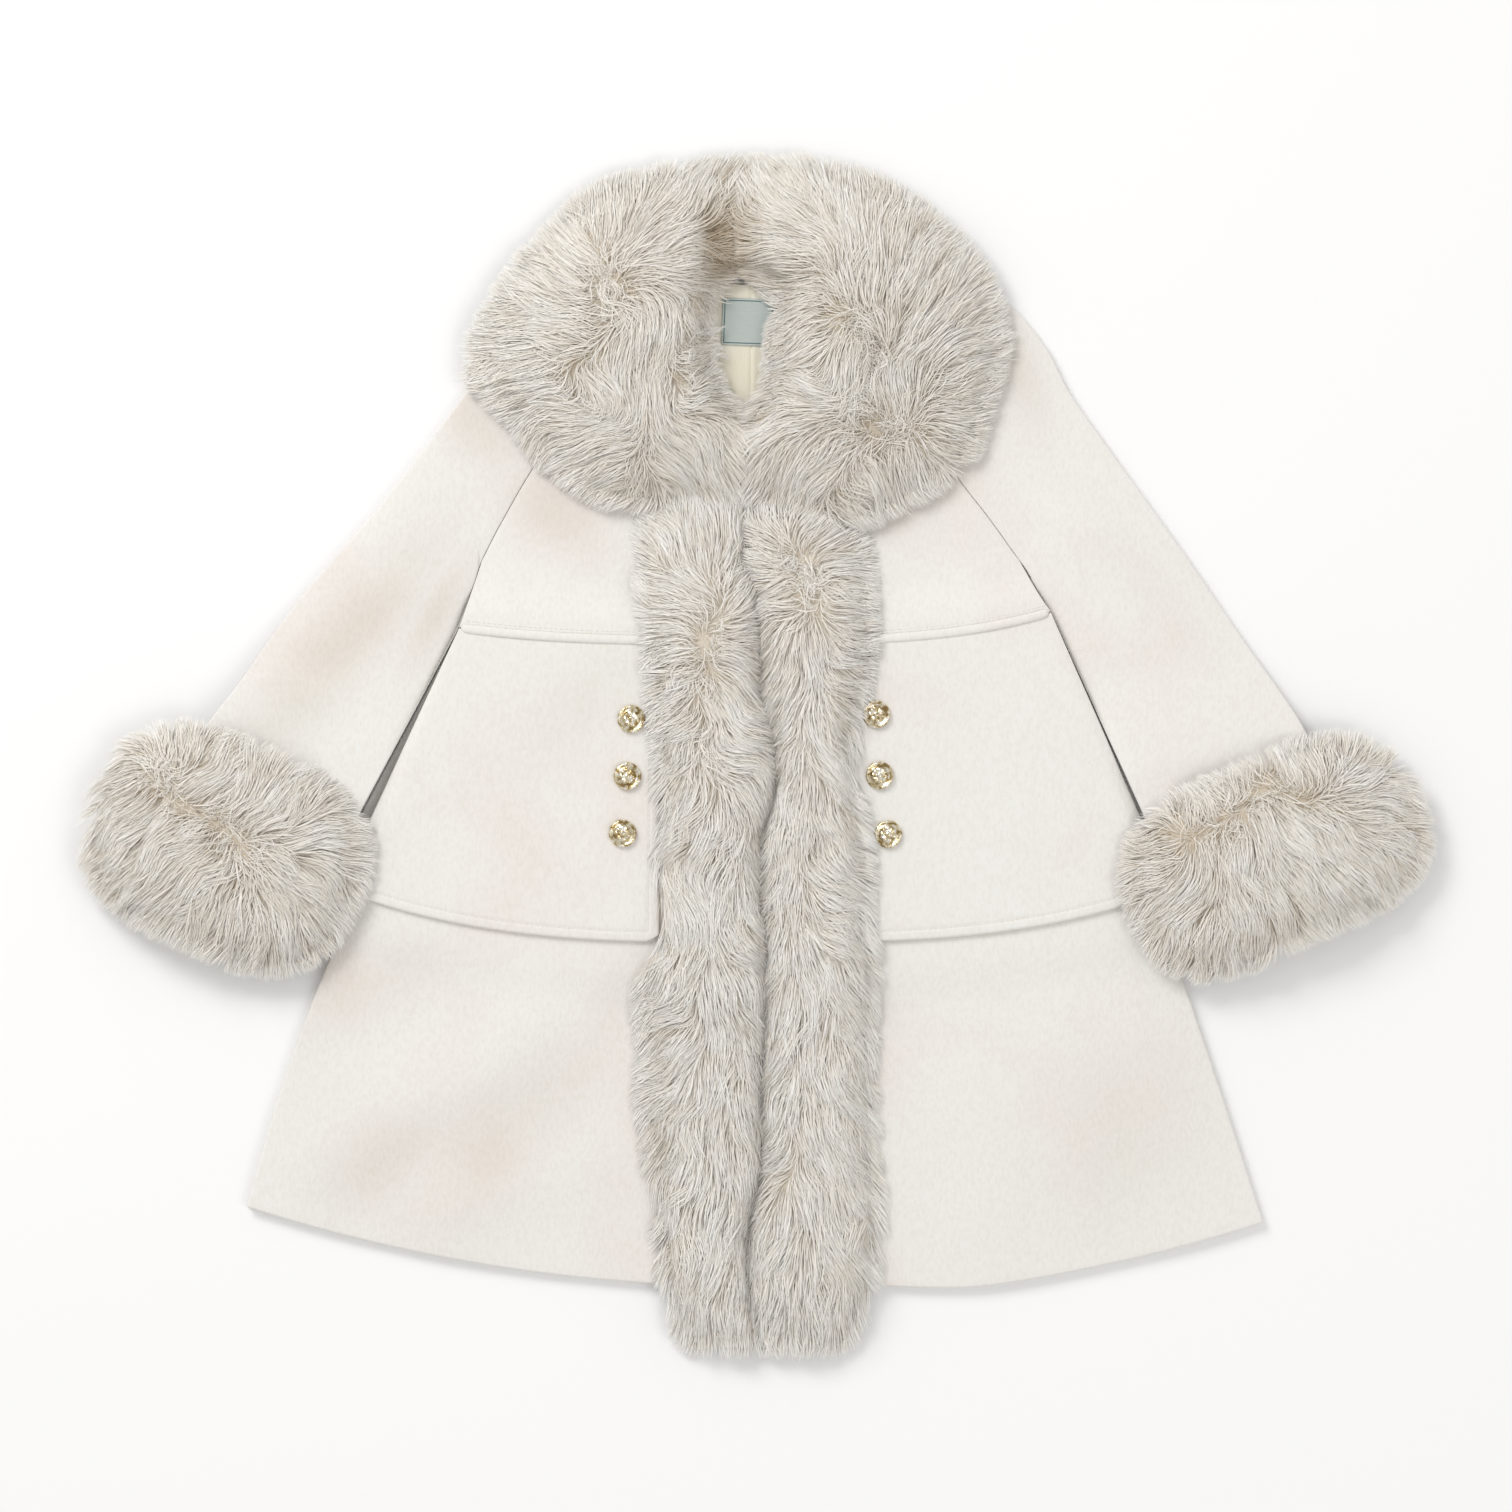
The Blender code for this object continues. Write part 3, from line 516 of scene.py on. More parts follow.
def welt(side, name, centre_y, base, half, height, x_from, x_to, count):
    """A half-round strip carried along a seam: its section is an arch over a flat base."""
    x = SIDES[side] * np.linspace(x_from, x_to, count)[:, None]
    turn = np.linspace(0, math.pi, 13)[None, :]
    ends = np.sqrt(np.clip(1 - np.abs(np.linspace(-1, 1, count)) ** 40, 0, 1))[:, None]
    y = centre_y(x) + half * np.cos(turn) * ends
    z = base + height * np.sin(turn) ** 0.7 * ends + 0 * x
    top = np.stack([x + 0 * y, y, z], axis=-1)
    points = top.reshape(-1, 3)
    rows, columns = top.shape[:2]
    index = np.arange(rows * columns).reshape(rows, columns)
    around = np.concatenate([index, index[:, :1]], axis=1)
    faces = [quads_of(around)[:, ::-1]]
    for row, order in ((index[0], 1), (index[-1], -1)):
        near, far = row[: columns // 2], row[::-1][: columns // 2]
        cap = np.stack([near[:-1], near[1:], far[1:], far[:-1]], axis=-1)
        faces.append(cap[:, ::order])
    faces = np.concatenate(faces)
    if side == "left":
        faces = faces[:, ::-1]
    return put_mesh(name, points, [faces], wool, "cream_wool")


for side in SIDES:
    down = dense_near(stations(60, BODICE_LENGTH), [0.02], 0.03, 6)
    across = stations(40, BODICE_WIDTH, RAGLAN_RIM)
    piece = shell(f"wool_bodice_{side}", front_bodice(side), across, down, wool)
    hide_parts(f"front_bodice_{side}")
    base = 3 * LAYER + WALL + SEAM
    start = TIER_FRONT_EDGE[side] + 4.0
    strip = welt(side, f"waist_seam_{side}", waist_y, base, WELT_HALF, WELT_HEIGHT, start, WAIST_HALF - 1, 90)
    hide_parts(f"waist_welt_{side}")

# Topstitching of stout cream thread holds the tier's hem and front edge and the upper side of the waist
# seam. Each stitch is a short grain that sinks into the nap at both ends.

STITCH_PITCH, STITCH_LENGTH, THREAD = 3.3, 2.5, 0.3


def sewing_thread():
    finish, nodes, links, shader = new_finish("cream thread", 0.55)
    ply = noise(nodes, links, 2500, 1)
    links.new(ramp(nodes, links, ply, [(0.35, "e6e0d8"), (0.65, "f4f1ea")]), shader.inputs["Base Color"])
    bump(nodes, links, shader, [(ply, 0.0001)])
    return finish


def stitches(name, runs, finish):
    """Grains spaced evenly along polylines. A grain's radius is a root of 1 - u^2 along its length."""
    centres, ways = [], []
    for run in runs:
        reached = np.concatenate([[0], np.cumsum(np.linalg.norm(np.diff(run, axis=0), axis=1))])
        at = np.arange(STITCH_PITCH / 2, reached[-1], STITCH_PITCH)
        centre = np.stack([np.interp(at, reached, run[:, k]) for k in range(3)], axis=-1)
        way = np.gradient(centre, axis=0)
        centres.append(centre)
        ways.append(way / np.linalg.norm(way, axis=1, keepdims=True))
    centre, way = (np.concatenate(rows)[:, None, None] for rows in (centres, ways))
    aside = np.cross(way, [0.0, 0.0, 1.0])
    u = np.array([-0.96, -0.6, 0, 0.6, 0.96])[None, :, None, None]
    turn = np.arange(6)[None, None, :, None] * math.tau / 6
    radius = THREAD * np.sqrt(1 - u**2)
    points = centre + way * u * STITCH_LENGTH / 2 + aside * radius * np.cos(turn)
    points = points + np.array([0, 0, 1.0]) * radius * np.sin(turn)
    count = len(points)
    first = np.arange(count)[:, None, None, None] * 30
    row, k = np.arange(4)[None, :, None, None] * 6, np.arange(6)[None, None, :, None]
    after = (k + 1) % 6
    sides = first + np.concatenate([row + k, row + 6 + k, row + 6 + after, row + after], axis=-1)
    ends = np.array([[0, 1, 2, 3], [0, 3, 4, 5], [27, 26, 25, 24], [29, 28, 27, 24]])
    faces = np.concatenate([sides.reshape(-1, 4), (first[:, 0] + ends[None]).reshape(-1, 4)])
    return put_mesh(name, points.reshape(-1, 3), [faces], finish, "cream_wool")


thread = sewing_thread()
for side in SIDES:
    place = front_tier(side)
    inner, low = HEM_FOLD / TIER_WIDTH, 1 - HEM_FOLD / TIER_LENGTH
    hem = np.linspace(inner, 0.88, 200), np.full(200, low)
    front_edge = np.full(200, inner), np.linspace(0.02, low, 200)
    runs = []
    for s, t in (hem, front_edge):
        x, y, _, z = place(s, t)
        runs.append(np.stack([x, y, z + 0.05], axis=-1))
    x = SIDES[side] * np.linspace(TIER_FRONT_EDGE[side] + 2, WAIST_HALF - 3, 200)
    y = waist_y(x) + WELT_HALF + 2.2
    runs.append(np.stack([x, y, bodice_front_z(x, y) + WALL + 0.1], axis=-1))
    stitches(f"stitches_{side}", runs, thread)

# Each sleeve is a front and a back that lie on each other, joined along both edges and open at the
# wrist. They rise on to the lower fur of the cuff, and the front is puffed out below the armpit.

LIFT_FROM, LIFT_TO = 0.60, 0.79
PUFF_FROM, PUFF_RISE, PUFF_FADE = 0.36, 0.20, 0.14
SLEEVE_PUFF = 3.0
SLEEVE_WIDTH, SLEEVE_LENGTH = 75.0, 470.0
SLEEVE_END = 0.972  # the wrist edge lies inside the fur of the cuff
SLEEVE_FOLDS = {
    "left": [(-318, 62, -270, 30, 9, 1.5), (-300, 84, -262, 66, 10, 1.0), (-245, 118, -205, 96, 12, 0.9)],
    "right": [(176, 160, 226, 132, 9, 1.3), (184, 138, 214, 112, 8, 1.0), (262, 92, 300, 60, 12, 0.9)],
}


def sleeve_lift(t):
    return 8.6 * smooth((t - LIFT_FROM) / (LIFT_TO - LIFT_FROM))


def body_side_x(side, y):
    """Half width of the back's side: down the side seam to the waist, and on to the tier's hem."""
    half = TIER_HALF + BACK_TIER_SHOWS[side]
    armpit_x, armpit_y = sleeve_point(side, np.ones(1), np.full(1, ARMPIT_SHARE))
    low = float(tier_hem_y(np.float64(SIDES[side] * half)))
    return np.interp(y, [low, WAIST_Y + WAIST_LIFT[side], armpit_y[0]], [half, WAIST_HALF, abs(armpit_x[0])])


def sleeve_back(side):
    """The back's inner edge lies close along the body's side, so no floor shows past the front."""

    def place(s, t):
        t = t * SLEEVE_END
        x, y = sleeve_point(side, s, t)
        gap = np.abs(x) - body_side_x(side, y) - 0.3
        near = smooth((t - ARMPIT_SHARE) / 0.06) * smooth((0.96 - t) / 0.05) * smooth((s - 0.6) / 0.4)
        beyond = smooth(gap * near * smooth((s - 0.85) / 0.15) / 4)
        x = x - SIDES[side] * gap * near
        return x, y, *rounded(s, t / SLEEVE_END, sleeve_lift(t) + 3.0 * beyond, SLEEVE_WIDTH, SLEEVE_LENGTH)

    return place


def sleeve_front(side):
    """The front is drawn most of the way to the body's side below the armpit, and puffed out."""

    def place(s, t):
        t = t * SLEEVE_END
        x, y = sleeve_point(side, s, t)
        near = smooth((t - ARMPIT_SHARE) / 0.06) * smooth((0.95 - t) / 0.06) * smooth((s - 0.5) / 0.5)
        x = x - SIDES[side] * 0.85 * (np.abs(x) - body_side_x(side, y)) * near
        puff = SLEEVE_PUFF * smooth((t - PUFF_FROM) / PUFF_RISE) * smooth((LIFT_TO - t) / PUFF_FADE)
        low = sleeve_lift(t) + LAYER + puff * 4 * s * (1 - s)
        low, high = rounded(s, t / SLEEVE_END, low, SLEEVE_WIDTH, SLEEVE_LENGTH, rim=RAGLAN_RIM)
        free = smooth(np.minimum(s, 1 - s) * 8) * smooth(t * 8)
        return x, y, low, high + (fold_height(x, y, SLEEVE_FOLDS[side]) + 0.9 * undulate(x, y, 80, 3)) * free

    return place


for side in SIDES:
    for part, place, columns in (("back", sleeve_back(side), 12), ("front", sleeve_front(side), 34)):
        rim = RIM if part == "back" else RAGLAN_RIM
        across, down = stations(columns, SLEEVE_WIDTH, rim), stations(90, SLEEVE_LENGTH, rim)
        piece = shell(f"wool_sleeve_{part}_{side}", place, across, down, wool)
        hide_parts(f"sleeve_{part}_{side}")

# The lining that shows in the neck is thin ivory satin, with a seam down the middle of the back. The
# woven label is sewn to it. It is left bare, with a plain border.

LINING_WALL = 1.0
LINING_SEAM_X = -2.6
LABEL_WIDTH, LABEL_HEIGHT, LABEL_WALL = 33.5, 30.0, 0.8
LABEL_X, LABEL_Y, LABEL_TILT = -4.3, 276.8, math.radians(-2.0)


def satin_cloth():
    """Ivory satin: fine threads across a smooth face that shines softly."""
    finish, nodes, links, shader = new_finish("ivory satin", 0.42)
    thread = noise(nodes, links, 900, 2, (1.0, 0.08, 1.0))
    cloud = noise(nodes, links, 35, 2)
    links.new(ramp(nodes, links, cloud, [(0.3, "f5efd9"), (0.7, "faf5e6")]), shader.inputs["Base Color"])
    shader.inputs["Sheen Weight"].default_value = 0.2
    bump(nodes, links, shader, [(cloud, 0.002), (thread, 0.0003)])
    return finish


def neck_lining(s, t):
    y = mix(FRONT_NECK_Y + 9, BACK_NECK_Y - 2, t)
    half = NECK_HALF * np.minimum(1.0, (y - FRONT_NECK_Y) / (SIDE_NECK_Y - FRONT_NECK_Y)) - 4
    x = (2 * s - 1) * half
    low, high = rounded(s, t, LAYER, 110, 87, LINING_WALL, 0.8)
    seam = groove(x, LINING_SEAM_X, 0.7, 0.6) + 0.35 * np.exp(-(((x - LINING_SEAM_X - 2.2) / 1.6) ** 2))
    return x, y, low, np.maximum(high + seam + 0.5 * undulate(x, y, 60, 4), low + 0.1)


across, down = dense_near(stations(50, 110, 0.8), [0.475], 0.03, 15), stations(40, 87, 0.8)
piece = shell("satin_neck", neck_lining, across, down, satin_cloth(), "ivory_lining")
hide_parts("neck_lining")


def woven_label():
    """Pale green tape with a fine rib and a plain border line, set by tenths of the way in from the edge."""
    finish, nodes, links, shader = new_finish("woven label", 0.6)
    rim, line, field = "c9d2ce", "4f6e6d", "c3ccc8"
    stops = [(0.0, rim), (0.1, rim), (0.12, line), (0.17, line), (0.19, field), (1.0, field)]
    links.new(ramp(nodes, links, own_value(nodes, "from_edge"), stops), shader.inputs["Base Color"])
    rib = noise(nodes, links, 1400, 1, (0.15, 1.0, 1.0))
    bump(nodes, links, shader, [(rib, 0.0003)])
    return finish


def label(s, t):
    u, v = (s - 0.5) * LABEL_WIDTH, (t - 0.5) * LABEL_HEIGHT
    x = LABEL_X + u * math.cos(LABEL_TILT) - v * math.sin(LABEL_TILT)
    y = LABEL_Y + u * math.sin(LABEL_TILT) + v * math.cos(LABEL_TILT)
    low, high = rounded(s, t, LAYER + LINING_WALL + SEAM, LABEL_WIDTH, LABEL_HEIGHT, LABEL_WALL, 0.4)
    return x, y, low + 0.4, high + 0.4


points, faces = shell_mesh(label, stations(44, LABEL_WIDTH, 0.4), stations(40, LABEL_HEIGHT, 0.4))
piece = put_mesh("tape_label", points, [faces], woven_label(), "label_tape")
at = points - [LABEL_X, LABEL_Y, 0]
u = at[:, 0] * math.cos(LABEL_TILT) + at[:, 1] * math.sin(LABEL_TILT)
v = at[:, 1] * math.cos(LABEL_TILT) - at[:, 0] * math.sin(LABEL_TILT)
from_edge = np.minimum(LABEL_WIDTH / 2 - np.abs(u), LABEL_HEIGHT / 2 - np.abs(v))
put_values(piece, "from_edge", from_edge / 10)
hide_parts("label")

# The collar is fur on a wool under-collar. It lies open round the neck, in two halves that meet at the
# back and in front, high by the neck and low at its outer edge.

NECK_X, NECK_Y = -6.0, 262.0
COLLAR_COLUMNS = ("angle", "inner", "left", "right", "height")
COLLAR = np.array(
    [
        (0, 40, 116, 116, 30), (15, 39, 117, 120, 32), (30, 36, 125, 127, 35), (45, 30, 138, 137, 38),
        (60, 23, 144, 148, 40), (75, 18, 158, 161, 42), (90, 16, 174, 165, 42), (97, 16, 176, 161, 41),
        (106, 16, 158, 159, 40), (115, 17, 152, 161, 39), (125, 20, 145, 153, 38),
        (135, 24, 137, 142, 36), (147, 31, 122, 137, 33), (160, 40, 106, 112, 29),
        (180, 51, 97, 97, 24),
    ],
    float,
)
COLLAR_SHOWS = {"left": 4.0, "right": 1.0}
UNDER_COLLAR_WALL, COLLAR_FALL, LAY, FUR_EDGE = 2.0, 40.0, 0.6, 3.0


def column(table, columns, name, at):
    """A named column of a table, read between its rows."""
    keys, values = table[:, 0], table[:, columns.index(name)]
    order = np.argsort(keys)
    return np.interp(at, keys[order], values[order])


def collar_point(side, angle, radius):
    turn = np.radians(angle)
    return NECK_X + SIDES[side] * radius * np.sin(turn), NECK_Y + radius * np.cos(turn)


def shoulder_y(x):
    left, right = (np.array([[row[0], row[1]] for row in SLEEVE[side]], float) for side in SIDES)
    height = [np.interp(np.abs(x), rows[:, 0], rows[:, 1]) for rows in (left, right)]
    return np.where(x < 0, *height)


def under_collar_z(x, y):
    return 2 * LAYER * (1 - smooth((y - shoulder_y(x) - CLEAR) / COLLAR_FALL))


def under_collar(side):
    def place(s, t):
        angle = mix(0.4, 179.2, s)
        inner = column(COLLAR, COLLAR_COLUMNS, "inner", angle) + 6
        outer = column(COLLAR, COLLAR_COLUMNS, side, angle) - COLLAR_SHOWS[side]
        x, y = collar_point(side, angle, mix(inner, outer, t))
        return x, y, *rounded(s, t, under_collar_z(x, y), 300, 100, UNDER_COLLAR_WALL)

    return place


for side in SIDES:
    piece = shell(f"wool_under_collar_{side}", under_collar(side), stations(80, 300), stations(20, 100), wool)
    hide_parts(f"under_collar_{side}")


def fur_finish():
    """Long soft pile, brown at the skin and pale at the tips, from the strands' own tone: the brown is partly
    the pile's own colour and partly painted shade among the strands.
    """
    finish, nodes, links, shader = new_finish("greige fur", 0.75)
    skin = [(0.0, "6b563d"), (0.12, "a18d73"), (0.3, "cdbfaa")]
    tips = [(0.55, "eee7dc"), (0.8, "faf6ef"), (1.0, "fefdfa")]
    links.new(ramp(nodes, links, own_value(nodes, "tone"), skin + tips), shader.inputs["Base Color"])
    shader.inputs["Sheen Weight"].default_value = 0.1
    shader.inputs["Specular IOR Level"].default_value = 0.2
    return finish


pile = fur_finish()
STRAND_SHARES = np.array([0.0, 0.28, 0.56, 0.8, 1.0])
STRAND_WIDTH, STRAND_TAPER, SHORTEST = 0.52, np.array([[0.9, 1.0, 0.9, 0.65]]), 5.0


def combed(table, waviness=0.2):
    """Combing at any place, from a table of x, y and angle in degrees: each row weighs as the inverse
    fourth power of its distance, and slow waves turn the result a little either way. Gives the angle,
    and how far from 0 to 1 the rows disagree there, as they do along a parting."""
    table = np.array(table, float)
    turns = np.radians(table[:, 2])

    def flow(x, y):
        near = (x[..., None] - table[:, 0]) ** 2 + (y[..., None] - table[:, 1]) ** 2 + 25.0
        weight = near**-2.0
        up, right = (weight * np.sin(turns)).sum(axis=-1), (weight * np.cos(turns)).sum(axis=-1)
        doubt = 1 - np.hypot(up, right) / weight.sum(axis=-1)
        waves = waviness * np.sin(x / 9.0 + y / 31.0) * np.sin(y / 11.0 - x / 37.0)
        return np.arctan2(up, right) + waves, doubt

    return flow


def ground_of(skin, cell=2.5, margin=30.0):
    """Height of a skin and distance beyond its edge, at any place, read between the cells of a raster.
    Each cell takes the nearest point of the skin, and falls by 0.3 for each unit beyond it. The first 4
    from a point don't count, since the skin's own points lie that far apart."""
    points = skin.reshape(-1, 3)
    low = points[:, :2].min(axis=0) - margin
    size = np.ceil((points[:, :2].max(axis=0) + margin - low) / cell).astype(int) + 1
    cx, cy = np.meshgrid(low[0] + cell * np.arange(size[0]), low[1] + cell * np.arange(size[1]))
    cells = np.stack([cx.ravel(), cy.ravel()], axis=-1)
    height, beyond = np.empty(len(cells)), np.empty(len(cells))
    for part in np.array_split(np.arange(len(cells)), max(1, len(cells) // 1500)):
        gap = ((cells[part, None] - points[None, :, :2]) ** 2).sum(axis=-1)
        nearest = gap.argmin(axis=1)
        beyond[part] = np.maximum(0, np.sqrt(gap[np.arange(len(part)), nearest]) - 4.0)
        height[part] = points[nearest, 2] - 0.3 * beyond[part]
    rasters = np.stack([height, beyond]).reshape(2, size[1], size[0])

    def ground(x, y):
        u = np.clip((x - low[0]) / cell, 0, size[0] - 1.001)
        v = np.clip((y - low[1]) / cell, 0, size[1] - 1.001)
        i, j = u.astype(int), v.astype(int)
        a, b = u - i, v - j
        upper = rasters[:, j, i] * (1 - a) + rasters[:, j, i + 1] * a
        lower = rasters[:, j + 1, i] * (1 - a) + rasters[:, j + 1, i + 1] * a
        return upper * (1 - b) + lower * b

    return ground


def everywhere(value):
    return lambda x, y: np.full_like(x, value)


def comb(flow, root, turn, run, stray):
    """Plan positions at the shares of a strand, stepping along the combing. Where the combing is in
    doubt, the strand strays from it."""
    steps = [root]
    for step in np.diff(STRAND_SHARES):
        here = steps[-1]
        angle, doubt = flow(here[:, 0], here[:, 1])
        angle = angle + turn + stray * smooth((doubt - 0.1) * 2.0)
        steps.append(here + np.stack([np.cos(angle), np.sin(angle)], axis=-1) * (run * step)[:, None])
    return np.stack(steps, axis=1)


def unit(vectors):
    return vectors / (np.linalg.norm(vectors, axis=-1, keepdims=True) + 1e-9)


def ribbons(line, twist, half):
    """Points, quads and tip triangles of flat strands: at each step but the last, a point to either side
    of the line by its half width, across the strand and turned about it by the twist."""
    way = unit(np.gradient(line, axis=1))
    sideways = unit(np.cross(way, [0.0, 0.0, 1.0]))
    flat = sideways * np.cos(twist) + np.cross(sideways, way) * np.sin(twist)
    offset = flat[:, :4] * half[..., None]
    points = np.concatenate([line[:, :4] - offset, line[:, :4] + offset, line[:, 4:]], axis=1).reshape(-1, 3)
    points[:, 2] = np.maximum(points[:, 2], 0.3)
    first = np.arange(len(line))[:, None] * 9
    quads = np.concatenate([first + np.array([[k, k + 4, k + 5, k + 1]]) for k in range(3)])
    return points, quads, first + np.array([[3, 7, 8]])


def fur(name, node, place, grid, flow, strands, locks, length, seed, reach, lift=6.5, hollow=None, painted_light=0.0):
    """Pile on a skin. place(s, t) gives the skin's x, y, lower and upper z. Roots are spread over the
    skin by area. A strand follows the combing, its height over the skin rises as 1 - (1 - l)^2 and sinks
    again past the half, and it closes in on the middle strand of its lock. It is cut short where it
    would pass reach beyond the skin's edge. hollow gives from 0 to 1 how short and low it is, and how
    much painted shade darkens it."""
    draw = np.random.default_rng(seed)
    across, down = stations(grid[0], 200), stations(grid[1], 200)
    skin_points, skin_faces = shell_mesh(place, across, down)
    x, y, _, high = place(*np.meshgrid(across, down))
    skin = np.stack([x, y, high], axis=-1)
    ground = ground_of(skin)
    hollow = hollow or everywhere(0.0)
    area = np.linalg.norm(np.cross(skin[:-1, 1:] - skin[:-1, :-1], skin[1:, :-1] - skin[:-1, :-1]), axis=-1)

    def scatter(count):
        cell = draw.choice(area.size, count, p=(area / area.sum()).ravel())
        i, j = np.unravel_index(cell, area.shape)
        a, b = draw.random((2, count, 1))
        upper, lower = mix(skin[i, j], skin[i, j + 1], a), mix(skin[i + 1, j], skin[i + 1, j + 1], a)
        return mix(upper, lower, b)[:, :2]

    def trimmed(root, turn, run, stray, slack):
        """The length left of each strand once its tip keeps within reach of the skin's edge."""
        x, y = comb(flow, root, turn, run, stray)[:, -1].T
        return np.maximum(SHORTEST, run - np.maximum(0, ground(x, y)[1] - reach(x, y) * slack))

    lock_root = scatter(locks)
    lock_turn = draw.normal(0, 0.2, locks)
    lock_length = length * draw.uniform(0.85, 1.2, locks)
    lock_lift = draw.uniform(0.7, 1.35, locks)
    lock_tone = draw.normal(0, 0.05, locks)
    lock_stray = draw.normal(0, 1.0, locks)
    lock_run = trimmed(lock_root, lock_turn, lock_length, lock_stray, 1.0)
    lock_path = comb(flow, lock_root, lock_turn, lock_run, lock_stray)
    root = scatter(strands)
    nearest = np.empty(strands, int)
    for part in np.array_split(np.arange(strands), max(1, strands // 2000)):
        nearest[part] = ((root[part, None] - lock_root[None]) ** 2).sum(axis=-1).argmin(axis=1)
    short = hollow(root[:, 0], root[:, 1])
    turn = lock_turn[nearest] + draw.normal(0, 0.12, strands) + short * draw.normal(0, 0.7, strands)
    run = lock_length[nearest] * draw.uniform(0.75, 1.1, strands) * (1 - 0.5 * short)
    stray = lock_stray[nearest] + draw.normal(0, 0.5, strands)
    run = trimmed(root, turn, run, stray, draw.uniform(0.55, 1.15, strands))
    line = comb(flow, root, turn, run, stray)
    l = STRAND_SHARES[None, :]
    pull = 0.5 * l**1.5 * (draw.uniform(0.4, 1.0, strands) * (1 - short) * (run > 0.7 * length))[:, None]
    line = line + (lock_path[nearest] - line) * pull[..., None]
    rise = lift * lock_lift[nearest] * draw.uniform(0.35, 1.1, strands) * (1 - 0.5 * short)
    height = ground(line[..., 0], line[..., 1])[0] + rise[:, None] * (1 - (1 - l) ** 2) * (1 - 0.45 * l**2)
    line = np.concatenate([line, np.maximum(height, 0.4)[..., None]], axis=-1)
    twist = draw.normal(0, 0.45, strands)[:, None, None]
    half = 0.5 * STRAND_WIDTH * draw.uniform(0.7, 1.3, strands)[:, None] * STRAND_TAPER
    points, quads, tips = ribbons(line, twist, half)
    # Tone rises from root to tip: darker roots are partly the pile's own colour and partly painted shade
    # among the strands.
    tone = 0.38 + painted_light + 0.52 * l**0.8 + (lock_tone[nearest] + draw.normal(0, 0.06, strands))[:, None]
    # Painted shade: the pile and its skin are darker still in the hollow.
    tone = tone - 0.45 * hollow(line[..., 0], line[..., 1])
    tone = np.concatenate([tone[:, :4], tone[:, :4], tone[:, 4:]], axis=1).ravel()
    # Painted shade: the skin between the roots is dark.
    skin_tone = 0.33 + painted_light - 0.25 * hollow(skin_points[:, 0], skin_points[:, 1])
    base = len(skin_points)
    faces = [np.concatenate([skin_faces, quads + base]), tips + base]
    piece = put_mesh(name, np.concatenate([skin_points, points]), faces, pile, "greige_fur")
    put_values(piece, "tone", np.concatenate([skin_tone, np.clip(tone, 0, 1)]))
    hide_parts(node)


SINK = 7.0  # how far the skin lies below the top of the pile


def stand(x, y):
    """The inside of the collar's back, where the pile is short and low, and painted shade makes it brown."""
    return np.exp(-(((x + 17) / (15 + (y - 300) / 9)) ** 4) - (((y - 326) / 31) ** 4))


def collar_skin(side):
    def place(s, t):
        angle = mix(0.6, 179.0, s)
        inner = column(COLLAR, COLLAR_COLUMNS, "inner", angle) + 3 + 8 * smooth((70 - angle) / 40)
        inner = inner + (side == "left") * 8 * smooth((angle - 40) / 30) * smooth((150 - angle) / 30)
        outer = column(COLLAR, COLLAR_COLUMNS, side, angle) - 7
        height = column(COLLAR, COLLAR_COLUMNS, "height", angle) - FUR_EDGE
        x, y = collar_point(side, angle, mix(inner, outer, t))
        base = under_collar_z(x, y) + UNDER_COLLAR_WALL + 2 * LAY
        crown = np.sin(np.pi * np.clip(t, 0, 1) ** 0.62) ** 0.6 * mix(1, 0.86, t)
        crown = np.nan_to_num(crown)
        height = np.maximum(height - SINK, 2) * (1 - 0.6 * stand(x, y))
        return x, y, base, base + 1.5 + height * crown

    return place


COLLAR_COMBING = {  # x, y and the angle in degrees, 0 to the right and 90 towards the collar's top
    "left": [
        (-38, 357, 60), (-91, 360, 100), (-121, 334, 135), (-151, 304, 150), (-166, 266, 185),
        (-153, 238, 195), (-77, 344, 75), (-62, 330, 35), (-45, 324, 5), (-48, 303, -15),
        (-45, 282, -75), (-58, 266, -105), (-113, 266, 172), (-104, 239, -55), (-83, 251, -100),
        (-60, 236, -85), (-42, 251, 35), (-23, 224, 5), (-121, 218, 178), (-141, 194, 230),
        (-91, 198, 195), (-83, 176, 210), (-53, 191, -35), (-26, 198, -70),
    ],
    "right": [
        (-18, 364, 110), (20, 367, 118), (20, 333, 165), (13, 317, 175), (13, 300, 172), (17, 279, 190),
        (25, 263, 215), (55, 248, -100), (67, 348, 95), (98, 348, 70), (121, 325, 55), (137, 302, 48),
        (67, 310, 95), (98, 294, 65), (129, 278, 45), (145, 269, 12), (121, 240, 35), (137, 220, 10),
        (126, 198, -30), (106, 178, -60), (79, 173, -85), (90, 232, 95), (36, 232, 165), (13, 216, 195),
        (20, 186, 250), (45, 180, 225), (64, 168, -20),
    ],
}


def collar_reach(x, y):
    """The pile passes the skin's edge by 10 at the outside, and by little into the neck."""
    return np.where(np.hypot(x - NECK_X, (y - NECK_Y) * 0.6) < 50, 4.0, 10.0)


for side in SIDES:
    fur(
        f"fur_collar_{side}_pile", f"fur_collar_{side}", collar_skin(side),
        (60, 22),
        combed(COLLAR_COMBING[side]), strands=20000, locks=420, length=31, seed=21, reach=collar_reach,
        hollow=stand,
    )

# A band of the same fur runs down each front edge, from under the collar to below the hem. The two meet
# at a parting that wanders about the middle.

